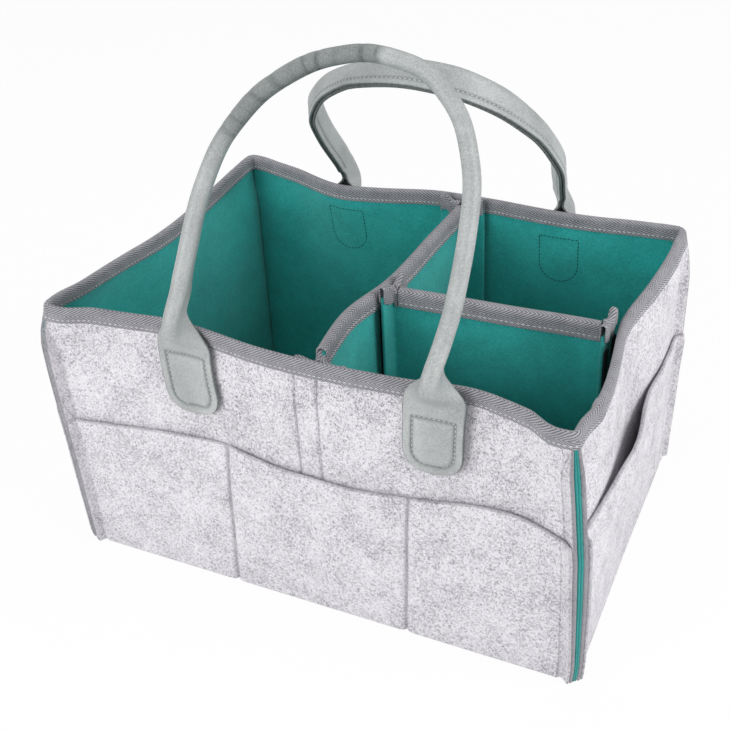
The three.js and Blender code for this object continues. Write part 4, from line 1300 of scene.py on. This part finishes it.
        # Where the tab's stitches run, from 0 to 1, and how far out from its edge and up from its cross row a
        # point lies
        h, wide, bottom, row = self.take(at, self.line[:, 1], self.width, self.bottom, self.row)
        z, corner = h + strip["flex"], strip["tabCorner"]
        aside, below = np.abs(w) - wide / 2, z - bottom - corner
        rounded = np.hypot(np.maximum(aside + corner, 0), np.minimum(below, 0)) - corner
        toEdge = np.where(below < 0, rounded, aside)
        along = gauss(toEdge + strip["stitchInset"], width) * (z < row + 0.6)
        return np.maximum(along, gauss(z - row, width) * (toEdge < -3.8)), toEdge, z - row

    def grooveAndCreaseShade(self, at, w):
        # Painted shade: dark in the stitched grooves, along the fin's stitches and in the creases, there
        # mostly on one side
        h, creases = self.take(at, self.line[:, 1], self.creases)
        groove, _, _ = self.grooves(at, w, 0.9)
        fin = gauss(stripCut / 2 - np.abs(w) - strip["finStitch"], 0.8) * (h > 13)
        patch = 0.62 + 0.38 * crowding(at, w)
        return np.maximum(0.75 * np.maximum(groove, fin), 1.1 * creases * patch * smooth((9 - w) / 9))


def makeHandle(name):
    # The leather as one sheet from tab to tab, and its cord
    shape = HandleShape(name)
    at = shape.length[:, None]
    # stations across the leather, closer together at its edges
    spans = (-1, -0.7, 13), (-0.66, 0.66, 27), (0.7, 1, 13)
    stations = np.concatenate([np.linspace(*span) for span in spans])
    width, _, left = shape.widths(at)
    w = stations[None] * width / 2 * left
    at = np.broadcast_to(at, w.shape)
    face, back = (shape.point(at, w, lift) for lift in (strip["leather"] / 2, -strip["leather"] / 2))
    points, faces, uv, marks = sheetParts(face, back, np.stack([at, w], -1))
    # painted shade of the grooves and creases goes into the leather's mark
    marks[: 2 * w.size] = np.concatenate([shape.grooveAndCreaseShade(at, w).ravel()] * 2)
    nodes = [f"{name}_handle_left_tab", f"{name}_handle_right_tab", f"{name}_handle_strap"]
    piece = makePiece(f"{name}Handle", points, faces, greyLeather, None, nodes, uv, marks)
    declareCloth((face + back) / 2)
    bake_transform(piece)
    makeCord(name, shape)
    makeHandleStitches(name, shape)


def runAbove(shape, h, count=None):
    # Even lengths along the part of a handle's line that stands over h
    run = shape.length[shape.line[:, 1] > h]
    return np.linspace(run[0], run[-1], count or len(run) // 2)


def makeCord(name, shape):
    # A tube round the middle of the folded leather
    run = runAbove(shape, strip["cordStart"])
    angle = np.arange(strip["cordSides"]) * 2 * np.pi / strip["cordSides"]
    top, middle = (shape.point(run, 0 * run, lift) for lift in (0.0, -strip["radius"]))
    up = unit(top - middle)
    aside = np.cross(unit(np.gradient(middle, axis=0)), up)
    ring = np.cos(angle)[:, None] * up[:, None] + np.sin(angle)[:, None] * aside[:, None]
    points = (middle[:, None] + strip["cordRadius"] * ring).reshape(-1, 3)
    makePiece(f"{name}Cord", points, tubeFaces(len(run), len(angle)), cordLook, f"{name}_handle",
              [f"{name}_handle_core"])


def makeHandleStitches(name, shape):
    # Round each tab and across it, then along both faces of the fin
    radius = strip["tabCorner"] - strip["stitchInset"]
    angle = np.linspace(0, np.pi / 2, 8)
    lift = strip["leather"] / 2

    def rowOn(at, w):
        path = shape.point(at, w, lift - 0.1)
        return path, unit(path - shape.point(at, w, -lift))

    tabs = []
    half = len(shape.line) // 2
    for part, (wide, bottom, row) in zip((slice(half), slice(half, None)), handles[name]["tabs"]):
        inner, centre = wide / 2 - strip["stitchInset"], bottom + strip["tabCorner"]
        down, turned = centre - radius * np.sin(angle), inner - radius + radius * np.cos(angle)
        z = np.concatenate([[row], down, down[::-1], [row], [row]])
        w = np.concatenate([[inner], turned, -turned[::-1], [-inner], [inner]])
        line = resample(np.stack([w, z], -1), 0.8)
        heights, lengths = shape.line[part, 1], shape.length[part]
        order = np.argsort(heights)
        tabs.append(rowOn(np.interp(line[:, 1] - strip["flex"], heights[order], lengths[order]), line[:, 0]))
    makeStitches("tab", f"{name}TabStitches", tabs, leatherThread, "bag")
    run = runAbove(shape, strip["finStart"], 400)
    w = stripCut / 2 - strip["finStitch"] + 0 * run
    fins = [rowOn(run, w), rowOn(run, -w)]
    makeStitches("fin", f"{name}FinStitches", fins, leatherThread, f"{name}_handle")


for name in ("front", "back"):
    makeHandle(name)
print("handles made")


# Stage
stage = {
    "floorSize": 12,
    "floorGlow": 0.95,      # share of plain white in the floor that the camera sees
    "sky": (0.95, 0.98, 1),
    "skyStrength": 0.42,
    "lamps": {              # place, size and power
        "topSoft": ((-0.2, 0.1, 1.5), 1.2, 5.0),
        "frontSoft": ((-0.7, -1.5, 0.75), 1.0, 15.0),
        "rightSoft": ((1.5, 0.0, 0.8), 1.0, 15.0),
    },
    "lampAim": (0, 0, 0.1),
}


def mixToOutput(tree, share, first, second, output):
    # Sends two shaders, mixed by a socket, to the tree's output
    mixed = tree.nodes.new("ShaderNodeMixShader")
    for index, socket in enumerate((share, first, second)):
        tree.links.new(socket, mixed.inputs[index])
    tree.links.new(mixed.outputs[0], tree.nodes[output].inputs[0])


def makeFloor():
    bpy.ops.mesh.primitive_plane_add(size=stage["floorSize"], location=(0, 0, 0))
    floor = bpy.context.object
    floor.name = "floor"
    look = Look("floor", Roughness=0.9, Specular_IOR_Level=0.1, Base_Color=(0.9, 0.9, 0.9))
    seen = look.add("ShaderNodeLightPath") * stage["floorGlow"]
    glow = look.add("ShaderNodeEmission", Color=(1, 1, 1), Strength=1.0)
    mixToOutput(look.material.node_tree, seen.socket, look.shader.outputs[0], glow.socket, "Material Output")
    floor.data.materials.append(look.material)


def makeSky():
    # Soft light all round, and plain white where the camera looks past the floor
    world = bpy.data.worlds.new("studio")
    bpy.context.scene.world = world
    world.use_nodes = True
    tree = world.node_tree
    rays = tree.nodes.new("ShaderNodeLightPath")
    soft, white = tree.nodes["Background"], tree.nodes.new("ShaderNodeBackground")
    for node, colour, strength in ((soft, stage["sky"], stage["skyStrength"]), (white, (1, 1, 1), 1.0)):
        node.inputs[0].default_value = (*colour, 1)
        node.inputs[1].default_value = strength
    mixToOutput(tree, rays.outputs["Is Camera Ray"], soft.outputs[0], white.outputs[0], "World Output")


def makeLamps():
    for name, (place, size, power) in stage["lamps"].items():
        lamp = bpy.data.lights.new(name, "AREA")
        lamp.size, lamp.energy = size, power
        holder = bpy.data.objects.new(name, lamp)
        holder.location = place
        aim = Vector(stage["lampAim"]) - Vector(place)
        holder.rotation_euler = aim.to_track_quat("-Z", "Y").to_euler()
        bpy.context.scene.collection.objects.link(holder)


makeFloor()
makeSky()
makeLamps()
bpy.context.scene.view_settings.view_transform = "Standard"
print("stage made")
